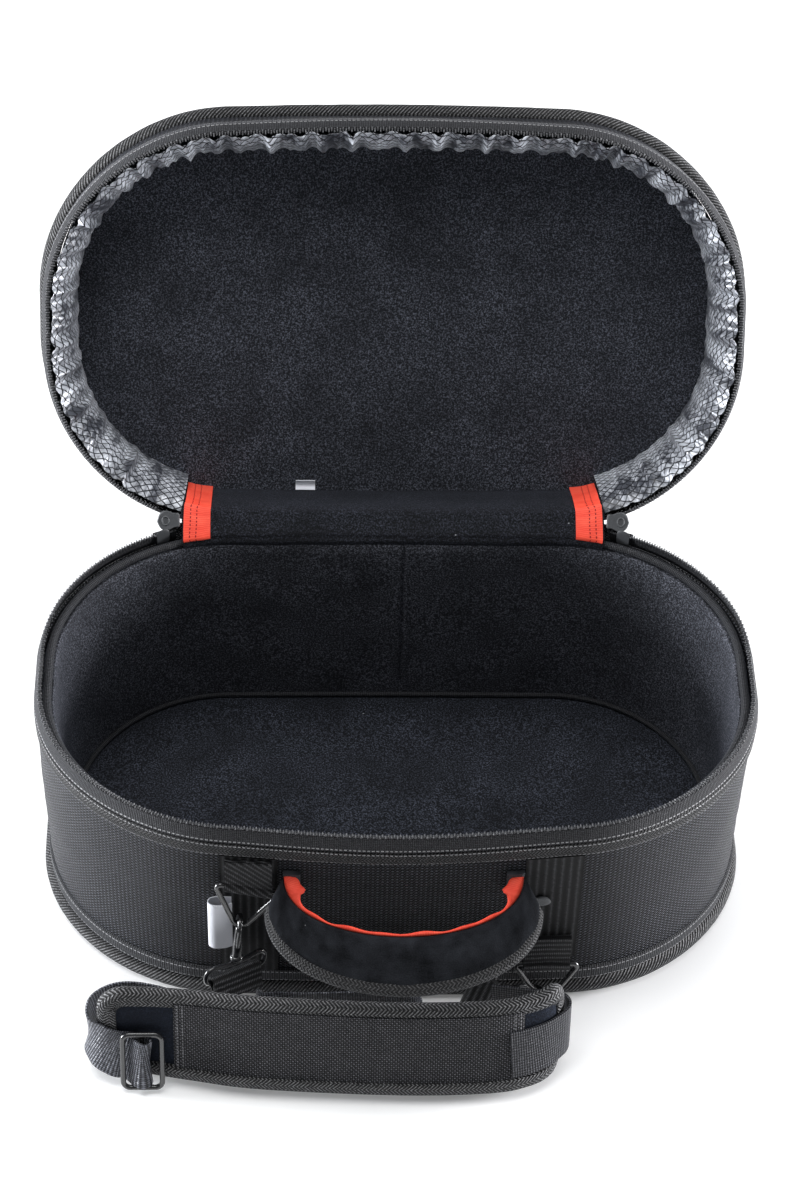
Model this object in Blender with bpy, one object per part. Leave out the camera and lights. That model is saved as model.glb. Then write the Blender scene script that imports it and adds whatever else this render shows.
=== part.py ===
"""Soft bongo bag, shown open: a stadium-shaped padded tub with a zip rim, a hinged padded lid,
a crescent grab handle, two triangle rings, two swivel snap hooks and a padded shoulder strap."""

import math

import bmesh
import bpy
from mathutils import Matrix, Vector

MM = 0.001

# Plan of the bag, seen from above, measured on the line of the zip teeth.
HALF_LENGTH = 240 * MM
HALF_WIDTH = 138.5 * MM
CORNER_RADIUS = 122 * MM
FRONT_BOW = 0.060
BACK_BOW = 0.030
ARC_STEPS = 11
FRONT_STEPS = 8
BACK_STEPS = 6

# The open mouth relaxes: the middle of the front rim drops and bows out a little.
MOUTH_DROP = 8 * MM
MOUTH_BULGE = 4 * MM
MOUTH_SPREAD = 115 * MM

# Clearance left between parts that touch on the real bag.
GAP = 0.35 * MM
FOAM_GAP = 0.7 * MM

# Tub heights.
ZIP_HEIGHT = 180 * MM
PIPING_TOP = 13 * MM
BASE_BAND_TOP = 26.5 * MM
RIM_BAND_HEIGHT = 12.5 * MM
TAPE_HEIGHT = 10.5 * MM
TEETH_HEIGHT = 2.1 * MM
WALL_TOP = ZIP_HEIGHT - 13.6 * MM
WALL_OFFSET_LOW = -0.8 * MM
WALL_OFFSET_TOP = 2.6 * MM
WALL_THICKNESS = 2.0 * MM
FOAM_THICKNESS = 9.0 * MM
BASE_THICKNESS = 5.0 * MM
BASE_LIFT = 0.0 * MM
FLOOR_TOP = 15.5 * MM
FLOOR_CROWN = 1.6 * MM

# Lid, drawn closed and then swung open about the rim at the back.
LID_DEPTH = 70.5 * MM
LID_OPEN_ANGLE = 119.0
HINGE_Y = HALF_WIDTH - 1.5 * MM
HINGE_Z = ZIP_HEIGHT - 1.0 * MM
LID_WALL_LOW = 13.65 * MM
LID_WALL_TOP = 58.5 * MM
PIPING_RADIUS = 5.8 * MM
LINING_DEPTH = 59.4 * MM
LINING_BULGE = 17.5 * MM
PUCKER_PITCH = 19 * MM
PUCKER_DEPTH = 2.3 * MM
STRIP_END = 151 * MM
ZIP_END = 168 * MM

# The lining stays clear of the zip's pull tabs up to here, measured from the middle of the back.
TAB_REACH = 189 * MM

# Webbing, rings and handle on the front wall.
WEBBING_WIDTH = 38 * MM
WEBBING_THICKNESS = 1.8 * MM
WEBBING_X = 99 * MM
RING_WIRE = 1.9 * MM
RING_WIDTH = 45 * MM
LOOP_WIDTH = 31.4 * MM
RING_DROP = 37 * MM
APEX_LIFT = 5.9 * MM
HANDLE_PIVOT = Vector((3 * MM, -HALF_WIDTH - 11.0 * MM, ZIP_HEIGHT - 49.9 * MM))
HANDLE_TILT = 57.0
HANDLE_THICKNESS = 13 * MM
ANCHOR_THICKNESS = 3.8 * MM

# Shoulder strap, standing on its long edge in front of the bag.
PAD_HEIGHT = 76 * MM
PAD_THICKNESS = 7.5 * MM
PAD_LEAN = 17.0
EDGE_BINDING = 7 * MM
PANEL_THICKNESS = 1.3 * MM
BELT_WIDTH = 37 * MM
BELT_THICKNESS = 1.4 * MM
STRAP_END = 15 * MM


def clear_scene():
    for thing in list(bpy.data.objects):
        bpy.data.objects.remove(thing, do_unlink=True)


def material(name, colour, rough, metal=0.0, sheen=0.0):
    slot = bpy.data.materials.new(name)
    slot.use_nodes = True
    shader = slot.node_tree.nodes["Principled BSDF"]
    shader.inputs["Base Color"].default_value = (*colour, 1.0)
    shader.inputs["Roughness"].default_value = rough
    shader.inputs["Metallic"].default_value = metal
    shader.inputs["Sheen Weight"].default_value = sheen
    slot.diffuse_color = (*colour, 1.0)
    return slot


def node(name, verts, faces, slot, origin=(0.0, 0.0, 0.0), sharp=32.0):
    """One closed body; its vertices are given in world places."""
    shift = Vector(origin)
    mesh = bpy.data.meshes.new(name)
    mesh.from_pydata([Vector(v) - shift for v in verts], [], faces)
    work = bmesh.new()
    work.from_mesh(mesh)
    bmesh.ops.recalc_face_normals(work, faces=work.faces)
    work.to_mesh(mesh)
    work.free()
    mesh.materials.append(slot)
    mesh.shade_smooth()
    mesh.set_sharp_from_angle(angle=math.radians(sharp))
    thing = bpy.data.objects.new(name, mesh)
    thing.location = shift
    bpy.context.scene.collection.objects.link(thing)
    return thing


def loft(name, loops, slot, ring=False, origin=(0.0, 0.0, 0.0), sharp=32.0):
    """Join equal loops one after the other; the ends are capped unless they meet in a ring."""
    count = len(loops[0])
    verts = [point for loop in loops for point in loop]
    faces = []
    last = len(loops) if ring else len(loops) - 1
    for i in range(last):
        here = i * count
        there = ((i + 1) % len(loops)) * count
        for j in range(count):
            k = (j + 1) % count
            faces.append((here + j, here + k, there + k, there + j))
    if not ring:
        faces.append(tuple(range(count - 1, -1, -1)))
        faces.append(tuple(range(len(verts) - count, len(verts))))
    return node(name, verts, faces, slot, origin, sharp)


def circle(radius, count, turn=0.0, squash=1.0):
    out = []
    for i in range(count):
        angle = 2 * math.pi * i / count + turn
        out.append((radius * math.cos(angle), radius * squash * math.sin(angle)))
    return out


def box_section(width, height):
    return [(-width / 2, -height / 2), (width / 2, -height / 2), (width / 2, height / 2), (-width / 2, height / 2)]


def soft_section(width, height, corner):
    """Rectangle with cut corners, for webbing edges and pads."""
    w = width / 2
    h = height / 2
    c = corner
    return [(-w + c, -h), (w - c, -h), (w, -h + c), (w, h - c), (w - c, h), (-w + c, h), (-w, h - c), (-w, -h + c)]


def sweep(name, frames, section, slot, ring=False, origin=(0.0, 0.0, 0.0), sharp=32.0):
    """Carry a flat section along frames of place, first axis and second axis."""
    loops = []
    for place, first, second in frames:
        loops.append([place + first * u + second * v for u, v in section])
    return loft(name, loops, slot, ring, origin, sharp)


def smooth_path(points, steps):
    """Catmull-Rom curve through the given points."""
    line = [Vector(p) for p in points]
    line = [line[0] * 2 - line[1]] + line + [line[-1] * 2 - line[-2]]
    out = []
    for i in range(1, len(line) - 2):
        a, b, c, d = line[i - 1], line[i], line[i + 1], line[i + 2]
        for k in range(steps):
            t = k / steps
            bend = 2 * b + (c - a) * t
            bend += (2 * a - 5 * b + 4 * c - d) * t * t
            bend += (3 * b - a - 3 * c + d) * t * t * t
            out.append(bend / 2)
    out.append(line[-2].copy())
    return out


# The plan curve.

PLAN_LENGTH = 4 * (HALF_LENGTH - CORNER_RADIUS) + 4 * (HALF_WIDTH - CORNER_RADIUS)
PLAN_LENGTH += 2 * math.pi * CORNER_RADIUS


def plan_frame(along):
    """Point and outward direction on the unbowed plan, clockwise from the middle of the back."""
    straight_x = HALF_LENGTH - CORNER_RADIUS
    straight_y = HALF_WIDTH - CORNER_RADIUS
    arc = math.pi / 2 * CORNER_RADIUS
    s = along % PLAN_LENGTH
    runs = (
        (straight_x, "line", (0.0, HALF_WIDTH), (1, 0), (0, 1)),
        (arc, "arc", (straight_x, straight_y), 90.0, None),
        (2 * straight_y, "line", (HALF_LENGTH, straight_y), (0, -1), (1, 0)),
        (arc, "arc", (straight_x, -straight_y), 0.0, None),
        (2 * straight_x, "line", (straight_x, -HALF_WIDTH), (-1, 0), (0, -1)),
        (arc, "arc", (-straight_x, -straight_y), -90.0, None),
        (2 * straight_y, "line", (-HALF_LENGTH, -straight_y), (0, 1), (-1, 0)),
        (arc, "arc", (-straight_x, straight_y), 180.0, None),
        (straight_x, "line", (-straight_x, HALF_WIDTH), (1, 0), (0, 1)),
    )
    for length, kind, start, turn, out in runs:
        if s <= length + 1e-9:
            break
        s -= length
    if kind == "line":
        return start[0] + turn[0] * s, start[1] + turn[1] * s, out[0], out[1]
    angle = math.radians(turn) - s / CORNER_RADIUS
    c = math.cos(angle)
    n = math.sin(angle)
    return start[0] + CORNER_RADIUS * c, start[1] + CORNER_RADIUS * n, c, n


def mouth_share(x, y, height):
    """How far a point shares in the relaxed mouth: full at the zip, nothing at base and lid top."""
    front = min(1.0, max(0.0, -y / HALF_WIDTH * 2 - 1))
    if height < ZIP_HEIGHT:
        level = min(1.0, max(0.0, (height - PIPING_TOP) / (WALL_TOP - PIPING_TOP)))
    else:
        level = min(1.0, max(0.0, (ZIP_HEIGHT + LID_WALL_TOP - height) / (LID_WALL_TOP - LID_WALL_LOW)))
    return front * level * math.exp(-((x / MOUTH_SPREAD) ** 2))


def plan_point(along, offset, height):
    x, y, nx, ny = plan_frame(along)
    x += nx * offset
    y += ny * offset
    bow = FRONT_BOW if y < 0 else BACK_BOW
    y *= 1 - bow * (x / HALF_LENGTH) ** 2
    ease = mouth_share(x, y, height)
    return Vector((x, y - ease * MOUTH_BULGE, height - ease * MOUTH_DROP))


def plan_stations():
    """Arc lengths of the shared stations, so that nested rings stay parallel."""
    straight_x = HALF_LENGTH - CORNER_RADIUS
    straight_y = HALF_WIDTH - CORNER_RADIUS
    arc = math.pi / 2 * CORNER_RADIUS
    runs = (
        (straight_x, BACK_STEPS // 2),
        (arc, ARC_STEPS),
        (2 * straight_y, 2),
        (arc, ARC_STEPS),
        (2 * straight_x, FRONT_STEPS),
        (arc, ARC_STEPS),
        (2 * straight_y, 2),
        (arc, ARC_STEPS),
        (straight_x, BACK_STEPS // 2),
    )
    out = []
    s = 0.0
    for length, steps in runs:
        for k in range(steps):
            out.append(s + length * k / steps)
        s += length
    return out


def open_stations(start):
    """Stations round the sides and front only, from the right pinch to the left one."""
    inner = [s for s in plan_stations() if start + 2 * MM < s < PLAN_LENGTH - start - 2 * MM]
    return [start] + inner + [PLAN_LENGTH - start]


def ring(name, profile, slot, stations=None, place=None, sharp=32.0):
    """Carry an (offset, height) profile round the plan."""
    closed = stations is None
    loops = []
    for s in stations or plan_stations():
        section = profile(s) if callable(profile) else profile
        loop = [plan_point(s, o, z) for o, z in section]
        if place:
            loop = [place @ p for p in loop]
        loops.append(loop)
    return loft(name, loops, slot, closed, sharp=sharp)


def plate(name, levels, slot, place=None, sharp=32.0):
    """Stack plan outlines given as (offset, height); first and last are capped."""
    loops = []
    for offset, height in levels:
        loop = [plan_point(s, offset, height) for s in plan_stations()]
        if place:
            loop = [place @ p for p in loop]
        loops.append(loop)
    return loft(name, loops, slot, False, sharp=sharp)


def wall_offset(height):
    """Outer face of the tub wall; it leans in a little towards the base."""
    part = (height - PIPING_TOP) / (WALL_TOP - PIPING_TOP)
    return WALL_OFFSET_LOW + (WALL_OFFSET_TOP - WALL_OFFSET_LOW) * part


def bead(centre_o, centre_z, radius, count, squash=1.0):
    return [(centre_o + u, centre_z + v) for u, v in circle(radius, count, math.pi / count, squash)]


def lid_place():
    """Swing from closed to open, about the hinge line at the back of the rim."""
    hinge = Vector((0.0, HINGE_Y, HINGE_Z))
    turn = Matrix.Rotation(math.radians(-LID_OPEN_ANGLE), 4, "X")
    return Matrix.Translation(hinge) @ turn @ Matrix.Translation(-hinge)


def build_tub(slots):
    low = PIPING_TOP + GAP
    outer_low = wall_offset(low)
    outer_top = wall_offset(WALL_TOP)
    wall = [
        (outer_low, low),
        (outer_top, WALL_TOP),
        (outer_top - WALL_THICKNESS, WALL_TOP),
        (outer_low - WALL_THICKNESS, low),
    ]
    ring("tub_wall", wall, slots["ballistic"])

    foam_out_top = outer_top - WALL_THICKNESS - FOAM_GAP
    foam_out_low = outer_low - WALL_THICKNESS - FOAM_GAP
    foam_low = BASE_LIFT + BASE_THICKNESS + GAP
    panel_edge = foam_out_low - 1.6 * MM
    foam_top = WALL_TOP - 2.5 * MM
    foam = [
        (foam_out_low, low),
        (foam_out_top, foam_top),
        (foam_out_top - 1.0 * MM, foam_top + 2.2 * MM),
        (foam_out_top - FOAM_THICKNESS + 1.0 * MM, foam_top + 2.2 * MM),
        (foam_out_top - FOAM_THICKNESS, foam_top),
        (foam_out_low - FOAM_THICKNESS, foam_low),
        (panel_edge - 0.1 * MM, foam_low),
        (panel_edge - 0.1 * MM, low),
    ]
    ring("tub_foam", foam, slots["fleece"])

    panel = [
        (panel_edge - 1.5 * MM, BASE_LIFT),
        (panel_edge, BASE_LIFT + 1.0 * MM),
        (panel_edge, BASE_LIFT + BASE_THICKNESS),
    ]
    plate("base_panel", panel, slots["ballistic"])

    pad_edge = foam_out_low - FOAM_THICKNESS - GAP - 0.2 * MM
    pad = [
        (pad_edge, foam_low),
        (pad_edge, FLOOR_TOP - 2.0 * MM),
        (pad_edge - 3.0 * MM, FLOOR_TOP),
        (pad_edge - 40.0 * MM, FLOOR_TOP + FLOOR_CROWN * 0.8),
        (pad_edge - 80.0 * MM, FLOOR_TOP + FLOOR_CROWN),
    ]
    plate("floor_pad", pad, slots["fleece_floor"])
    ring("floor_piping", bead(pad_edge - 2.0 * MM, FLOOR_TOP + 2.2 * MM, 1.8 * MM, 6), slots["binding_fine"])

    piping = bead(wall_offset(PIPING_TOP) - 1.0 * MM, 6.5 * MM, 6.5 * MM, 8, 0.97)
    piping = [(o + 0.6 * MM, z) for o, z in piping]
    ring("base_piping", [(max(o, panel_edge + GAP), z) for o, z in piping], slots["herringbone"], sharp=60.0)

    band_low = PIPING_TOP + 1.2 * MM
    band = [
        (wall_offset(band_low) + GAP, band_low),
        (wall_offset(band_low) + GAP + 1.5 * MM, band_low),
        (wall_offset(BASE_BAND_TOP) + GAP + 1.5 * MM, BASE_BAND_TOP - 0.6 * MM),
        (wall_offset(BASE_BAND_TOP) + GAP, BASE_BAND_TOP),
    ]
    ring("base_band", band, slots["tape"])

    rim_low = WALL_TOP - RIM_BAND_HEIGHT
    rim = [
        (wall_offset(rim_low) + GAP, rim_low),
        (wall_offset(rim_low) + GAP + 1.6 * MM, rim_low + 0.8 * MM),
        (outer_top + GAP + 1.7 * MM, WALL_TOP - 0.8 * MM),
        (outer_top + GAP, WALL_TOP),
    ]
    ring("rim_band", rim, slots["herringbone"])

    tape_low = WALL_TOP + GAP
    tape_top = tape_low + TAPE_HEIGHT
    tape = [
        (3.0 * MM, tape_low),
        (4.4 * MM, tape_low),
        (1.5 * MM, tape_top),
        (0.1 * MM, tape_top),
    ]
    ring("rim_zip_tape", tape, slots["zip_tape"], open_stations(ZIP_END))
    teeth = [
        (-1.3 * MM, tape_top + GAP),
        (1.5 * MM, tape_top + GAP),
        (1.2 * MM, ZIP_HEIGHT - GAP),
        (-1.0 * MM, ZIP_HEIGHT - GAP),
    ]
    ring("rim_zip_teeth", teeth, slots["teeth"], open_stations(ZIP_END))

    piping_o = foam_out_top - FOAM_THICKNESS / 2
    piping_z = foam_top + 2.2 * MM + GAP + 2.6 * MM
    ring("rim_piping", bead(piping_o, piping_z, 2.8 * MM, 6, 0.93), slots["binding_fine"], sharp=70.0)

    hinge = [(3.0 * MM, tape_low), (4.2 * MM, tape_low), (2.9 * MM, tape_low + 4.3 * MM), (1.6 * MM, tape_low + 5.1 * MM)]
    back = [PLAN_LENGTH - 150 * MM + 50 * MM * k for k in range(7)]
    ring("hinge_tape", hinge, slots["ballistic"], back)

    flap_low = ZIP_HEIGHT - 5.9 * MM
    flap = [(-5.6 * MM, flap_low), (-2.6 * MM, flap_low), (-2.6 * MM, flap_low + 4.3 * MM), (-3.6 * MM, flap_low + 5.5 * MM)]
    ring("hinge_flap", flap, slots["fleece"], back)


def front_strip(name, centre, width, low, high, lift, thick, slot):
    """Webbing sewn flat on the front wall; it follows the wall's curve and lean."""
    loops = []
    steps = 4
    for k in range(steps + 1):
        x = centre - width / 2 + width * k / steps
        s = PLAN_LENGTH / 2 - x
        inner_low = wall_offset(low) + lift
        inner_high = wall_offset(high) + lift
        side = 0.5 * MM if k in (0, steps) else 0.0
        loops.append(
            [
                plan_point(s, inner_low, low),
                plan_point(s, inner_low + thick - side, low),
                plan_point(s, inner_high + thick - side, high),
                plan_point(s, inner_high, high),
            ]
        )
    return loft(name, loops, slot)


def wall_y(x, height, lift=0.0):
    return plan_point(PLAN_LENGTH / 2 - x, wall_offset(height) + lift, height).y


def ring_loop(name, bar, slope, tail_top, slot):
    """Folded webbing that carries a triangle ring: down, round the bar and up again."""
    inner = RING_WIRE + 1.0 * MM
    middle = inner + WEBBING_THICKNESS / 2
    turn = [math.radians(a) for a in (68, 30, -10, -50, -90, -130, -170, -210, -248)]
    half = WEBBING_THICKNESS / 2
    outside = [((middle + half) * math.cos(a), (middle + half) * math.sin(a)) for a in turn]
    inside = [((middle - half) * math.cos(a), (middle - half) * math.sin(a)) for a in turn]
    tail = 0.22 * MM
    loops = []
    for end in (-1, 0, 1):
        x = bar.x + end * LOOP_WIDTH / 2
        drop = bar.z - slope * end * LOOP_WIDTH / 2
        lean = wall_y(x, drop) - wall_y(bar.x, bar.z)
        top_y = wall_y(x, tail_top, 2 * WEBBING_THICKNESS + 1.1 * MM)
        loop = []
        loop.append(Vector((x, top_y - tail - WEBBING_THICKNESS, tail_top)))
        for u, v in outside:
            loop.append(Vector((x, bar.y + lean - u, drop + v)))
        loop.append(Vector((x, top_y + tail + WEBBING_THICKNESS, tail_top)))
        loop.append(Vector((x, top_y + tail, tail_top)))
        for u, v in reversed(inside):
            loop.append(Vector((x, bar.y + lean - u, drop + v)))
        loop.append(Vector((x, top_y - tail, tail_top)))
        loops.append(loop)
    return loft(name, loops, slot)


def triangle_ring(name, bar, slope, tilt, slot):
    """Bent wire triangle with rounded corners; its origin is the middle of the bar."""
    half = RING_WIDTH / 2
    bends = (2.6 * MM, 2.6 * MM, 6.6 * MM)
    corners = [Vector((-half, 0.0, 0.0)), Vector((half, 0.0, 0.0)), Vector((0.0, 0.0, -RING_DROP))]
    points = []
    for i, corner in enumerate(corners):
        before = (corners[i - 1] - corner).normalized()
        after = (corners[(i + 1) % 3] - corner).normalized()
        wide = before.angle(after)
        bend = bends[i]
        reach = bend / math.tan(wide / 2)
        middle = corner + (before + after).normalized() * (bend / math.sin(wide / 2))
        start = corner + before * reach - middle
        finish = corner + after * reach - middle
        for k in range(5):
            arm = start.lerp(finish, k / 4).normalized() * bend
            points.append(middle + arm)
    spin = Matrix.Rotation(math.atan(slope), 3, "Y") @ Matrix.Rotation(math.radians(-tilt), 3, "X")
    normal = spin @ Vector((0, 1, 0))
    frames = []
    count = len(points)
    for i, p in enumerate(points):
        ahead = (points[(i + 1) % count] - points[i - 1]).normalized()
        frames.append((bar + spin @ p, (spin @ ahead).cross(normal), normal))
    sweep(name, frames, circle(RING_WIRE, 8), slot, True, bar, 60.0)
    return spin


def snap_hook(side, seat, stem, normal, bar_dir, tail, slots):
    """Swivel snap hook: a hooked body, a sprung gate and a webbing loop that turns on the stem."""
    stem = stem.normalized()
    normal = (normal - stem * normal.dot(stem)).normalized()
    across = normal.cross(stem)
    bar_dir = (bar_dir - stem * bar_dir.dot(stem)).normalized()
    bow = 7.3 * MM
    points = []
    for a in (-52, -25, 5, 35, 65, 95, 125, 152):
        angle = math.radians(a)
        points.append((bow * math.sin(angle), -bow * math.cos(angle)))
    points += [(2.4 * MM, 12.5 * MM), (0.0, 18.0 * MM), (0.0, 26.0 * MM)]
    wide = [1.5, 1.9, 2.2, 2.3, 2.4, 2.4, 2.4, 2.5, 2.9, 3.3, 3.3]
    spots = [seat + across * u + stem * v for u, v in points]
    frames = []
    for i, p in enumerate(spots):
        ahead = (spots[min(i + 1, len(spots) - 1)] - spots[max(i - 1, 0)]).normalized()
        size = wide[i] * MM / 2.3
        frames.append((p, ahead.cross(normal) * size, normal * size))
    sweep("hook_body_" + side, frames, circle(2.3, 8), slots["metal"], False, seat, 50.0)

    foot = seat - across * 3.6 * MM + stem * 15.0 * MM
    lip = seat - across * 6.9 * MM - stem * 2.4 * MM
    ahead = (lip - foot).normalized()
    frames = []
    for part, size in ((0.0, 1.0), (0.5, 1.15), (1.0, 0.8)):
        frames.append((foot.lerp(lip, part), ahead.cross(normal) * size, normal * size))
    sweep("hook_gate_" + side, frames, circle(1.35 * MM, 6), slots["metal"], False, foot, 50.0)

    low = seat + stem * (26.0 * MM + GAP)
    half = RING_WIDTH / 2
    deep = 13.0 * MM
    trace = [(0.35, 0.12), (0.80, 0.0), (1.0, 0.25), (1.0, 0.75), (0.85, 1.0), (0.4, 1.0)]
    line = [(half * u, 5.0 * MM + deep * v) for u, v in trace]
    line += [(-u, v) for u, v in reversed(line)]
    spots = [low + bar_dir * u + stem * v for u, v in line]
    flat = stem.cross(bar_dir)
    frames = []
    count = len(spots)
    for i, p in enumerate(spots):
        ahead = (spots[(i + 1) % count] - spots[i - 1]).normalized()
        size = 1.0
        frames.append((p, ahead.cross(flat) * size, flat * size))
    sweep("hook_loop_" + side, frames, circle(1.8 * MM, 6), slots["metal"], True, low, 60.0)
    knuckle = seat + stem * 26.0 * MM
    frames = []
    for drop, size in ((0.4, 3.6), (1.4, 4.4), (3.6, 4.4), (4.7, 3.0)):
        frames.append((knuckle + stem * drop * MM, bar_dir * size * MM, flat * size * MM))
    sweep("hook_swivel_" + side, frames, circle(1.0, 10), slots["metal"], False, knuckle, 50.0)
    bar = low + stem * (5.0 * MM + deep)
    tail = (tail - bar_dir * tail.dot(bar_dir)).normalized()
    beside = tail.cross(bar_dir)
    radius = 1.8 * MM + GAP + WEBBING_THICKNESS / 2 + 0.3 * MM
    trace = [(STRAP_END, -0.62), (8.5 * MM, -0.7)]
    for a in (-60, -95, -130, -165, 165, 130, 95, 60):
        angle = math.radians(a)
        trace.append((radius * math.cos(angle), radius * math.sin(angle) / (0.5 * WEBBING_THICKNESS + 0.3 * MM)))
    trace += [(8.5 * MM, 0.7), (STRAP_END, 0.62)]
    scale = 0.5 * WEBBING_THICKNESS + 0.3 * MM
    line = [bar + tail * u + beside * v * scale for u, v in trace]
    half = 0.5 * BELT_THICKNESS
    outer = []
    inner = []
    for i, p in enumerate(line):
        ahead = (line[min(i + 1, len(line) - 1)] - line[max(i - 1, 0)]).normalized()
        way = ahead.cross(bar_dir)
        outer.append(p + way * half)
        inner.append(p - way * half)
    loops = []
    for end in (-1, 0, 1):
        shift = bar_dir * end * BELT_WIDTH / 2
        loops.append([q + shift for q in outer] + [q + shift for q in reversed(inner)])
    loft("strap_end_" + side, loops, slots["belt"], origin=bar)


def build_front(slots):
    x = WEBBING_X
    front_strip("webbing_left", -x, WEBBING_WIDTH, BASE_BAND_TOP + GAP, WALL_TOP - RIM_BAND_HEIGHT - GAP,
                GAP, WEBBING_THICKNESS, slots["webbing"])
    front_strip("webbing_right", x + 3 * MM, WEBBING_WIDTH, 42 * MM, WALL_TOP - RIM_BAND_HEIGHT - GAP,
                GAP, WEBBING_THICKNESS, slots["webbing"])

    left_bar = Vector((-x, wall_y(-x, 124 * MM, 7.4 * MM), 124 * MM))
    ring_loop("ring_loop_left", left_bar, 0.2, 148 * MM, slots["webbing"])
    left_spin = triangle_ring("ring_left", left_bar, 0.2, 12.0, slots["metal"])

    right_bar = Vector((x + 3 * MM, wall_y(x, 38 * MM, 6.1 * MM), 38.5 * MM))
    ring_loop("ring_loop_right", right_bar, 0.0, 66 * MM, slots["webbing"])
    right_spin = triangle_ring("ring_right", right_bar, 0.0, 12.0, slots["metal"])

    tag_x = -x - WEBBING_WIDTH / 2
    loops = []
    trace = [(7.5, 3.3), (-3.5, 3.3), (-7.6, 5.2), (-8.0, 9.0), (-4.0, 11.6), (3.0, 11.2), (8.0, 9.2)]
    for height in (56 * MM, 80 * MM, 103 * MM):
        outer = [Vector((tag_x + u * MM, wall_y(tag_x, height, v * MM), height)) for u, v in trace]
        inner = []
        for u, v in trace:
            du = (0.5 - u) * 0.11
            dv = (7.2 - v) * 0.17
            inner.append(Vector((tag_x + (u + du) * MM, wall_y(tag_x, height, (v + dv) * MM), height)))
        loops.append(outer + list(reversed(inner)))
    loft("side_tag", loops, slots["white"])
    return {"left": (left_bar, left_spin), "right": (right_bar, right_spin)}


def build_handle(slots):
    tilt = math.radians(HANDLE_TILT)
    down = Vector((0.0, -math.sin(tilt), -math.cos(tilt)))
    out = Vector((0.0, -math.cos(tilt), math.sin(tilt)))
    side = Vector((1.0, 0.0, 0.0))
    steps = 26
    pad = []
    lining = []
    binding = []
    for k in range(steps + 1):
        angle = math.pi * k / steps
        c = math.cos(angle)
        s = max(0.0, math.sin(angle))
        inner = (-79 * MM * c, (-3 + 43 * s ** 0.9) * MM)
        outer = (-89 * MM * c, (17 + 61 * s ** 0.95) * MM)
        a = HANDLE_PIVOT + side * inner[0] + down * inner[1]
        b = HANDLE_PIVOT + side * outer[0] + down * outer[1]
        way = (b - a).normalized()
        half = (b - a).length / 2
        thick = HANDLE_THICKNESS / 2 * (0.55 + 0.45 * s ** 0.5)
        puff = [(-1.0, 0.0), (-0.92, 0.62), (-0.6, 1.0), (0.45, 1.0), (0.85, 0.8), (1.0, 0.55)]
        section = puff + [(u, -v) for u, v in reversed(puff[1:])]
        middle = (a + b) / 2
        pad.append([middle + way * half * u + out * thick * v for u, v in section])
        near = min(k, steps - k)
        swell = 2.0 + 8.0 * math.exp(-((near - 2.6) / 1.3) ** 2)
        swell *= min(1.0, 0.35 + 0.3 * near)
        edge = [(-swell, -0.25), (-swell, 0.25), (-0.35, 0.42), (-0.35, -0.42)]
        lining.append([a + way * u * MM + out * thick * v for u, v in edge])
        rim = [(0.35, -0.5), (2.6, -0.42), (3.4, 0.0), (2.6, 0.42), (0.35, 0.5)]
        binding.append([b + way * u * MM + out * thick * v for u, v in rim])
    loft("handle_pad", pad, slots["suede"], origin=HANDLE_PIVOT, sharp=50.0)
    loft("handle_lining", lining, slots["red"], origin=HANDLE_PIVOT, sharp=50.0)
    loft("handle_binding", binding, slots["binding"], origin=HANDLE_PIVOT, sharp=50.0)
    for word, sign in (("left", -1), ("right", 1)):
        front_strip("handle_anchor_" + word, HANDLE_PIVOT.x + sign * 71.6 * MM, 8.0 * MM, HANDLE_PIVOT.z - 10 * MM,
                    HANDLE_PIVOT.z + 11 * MM, GAP, ANCHOR_THICKNESS, slots["webbing"])


def build_zip_ends(slots):
    for word, sign in (("left", -1), ("right", 1)):
        s = 163 * MM if sign > 0 else PLAN_LENGTH - 163 * MM
        loops = []
        for k, size in ((-1, 0.8), (-0.5, 1.0), (0.5, 1.0), (1, 0.8)):
            at = s + k * 4.6 * MM
            low = WALL_TOP + GAP + 1.2 * MM
            high = ZIP_HEIGHT + 2.4 * MM
            mid = (low + high) / 2
            tall = (high - low) / 2 * size
            loops.append(
                [
                    plan_point(at, -1.3 * MM, mid - tall),
                    plan_point(at, 0.6 * MM, mid - tall),
                    plan_point(at, 0.6 * MM, mid + tall),
                    plan_point(at, -1.3 * MM, mid + tall),
                ]
            )
        loft("zip_slider_" + word, loops, slots["rubber"])
        level = ZIP_HEIGHT + 1.5 * MM
        root = plan_point(151.5 * MM if sign > 0 else PLAN_LENGTH - 151.5 * MM, 2.4 * MM, level)
        tip = plan_point(167 * MM if sign > 0 else PLAN_LENGTH - 167 * MM, 2.4 * MM, level)
        way = (tip - root).normalized()
        face = Vector((-way.y, way.x, 0.0)) * sign
        up = Vector((0.0, 0.0, 1.0))
        outline = [(0.0, -5.0), (4.0, -5.6), (7.0, -8.4), (11.0, -8.6), (14.4, -6.0), (16.0, 0.0)]
        outline += [(u, -v) for u, v in reversed(outline[:-1])]
        loops = []
        for depth, grow in ((-1.2, 0.92), (-0.8, 1.0), (0.8, 1.0), (1.2, 0.92)):
            loop = []
            for u, v in outline:
                loop.append(root + way * (8 + (u - 8) * grow) * MM + up * v * grow * MM + face * depth * MM)
            loops.append(loop)
        loft("pull_tab_" + word, loops, slots["rubber"], origin=root)


def pucker(s):
    """Uneven gathers of the lining, repeated along the gusset."""
    return 0.6 * math.sin(2 * math.pi * s / PUCKER_PITCH) + 0.4 * math.sin(2 * math.pi * s / (PUCKER_PITCH * 0.63) + 1.3)


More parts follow.
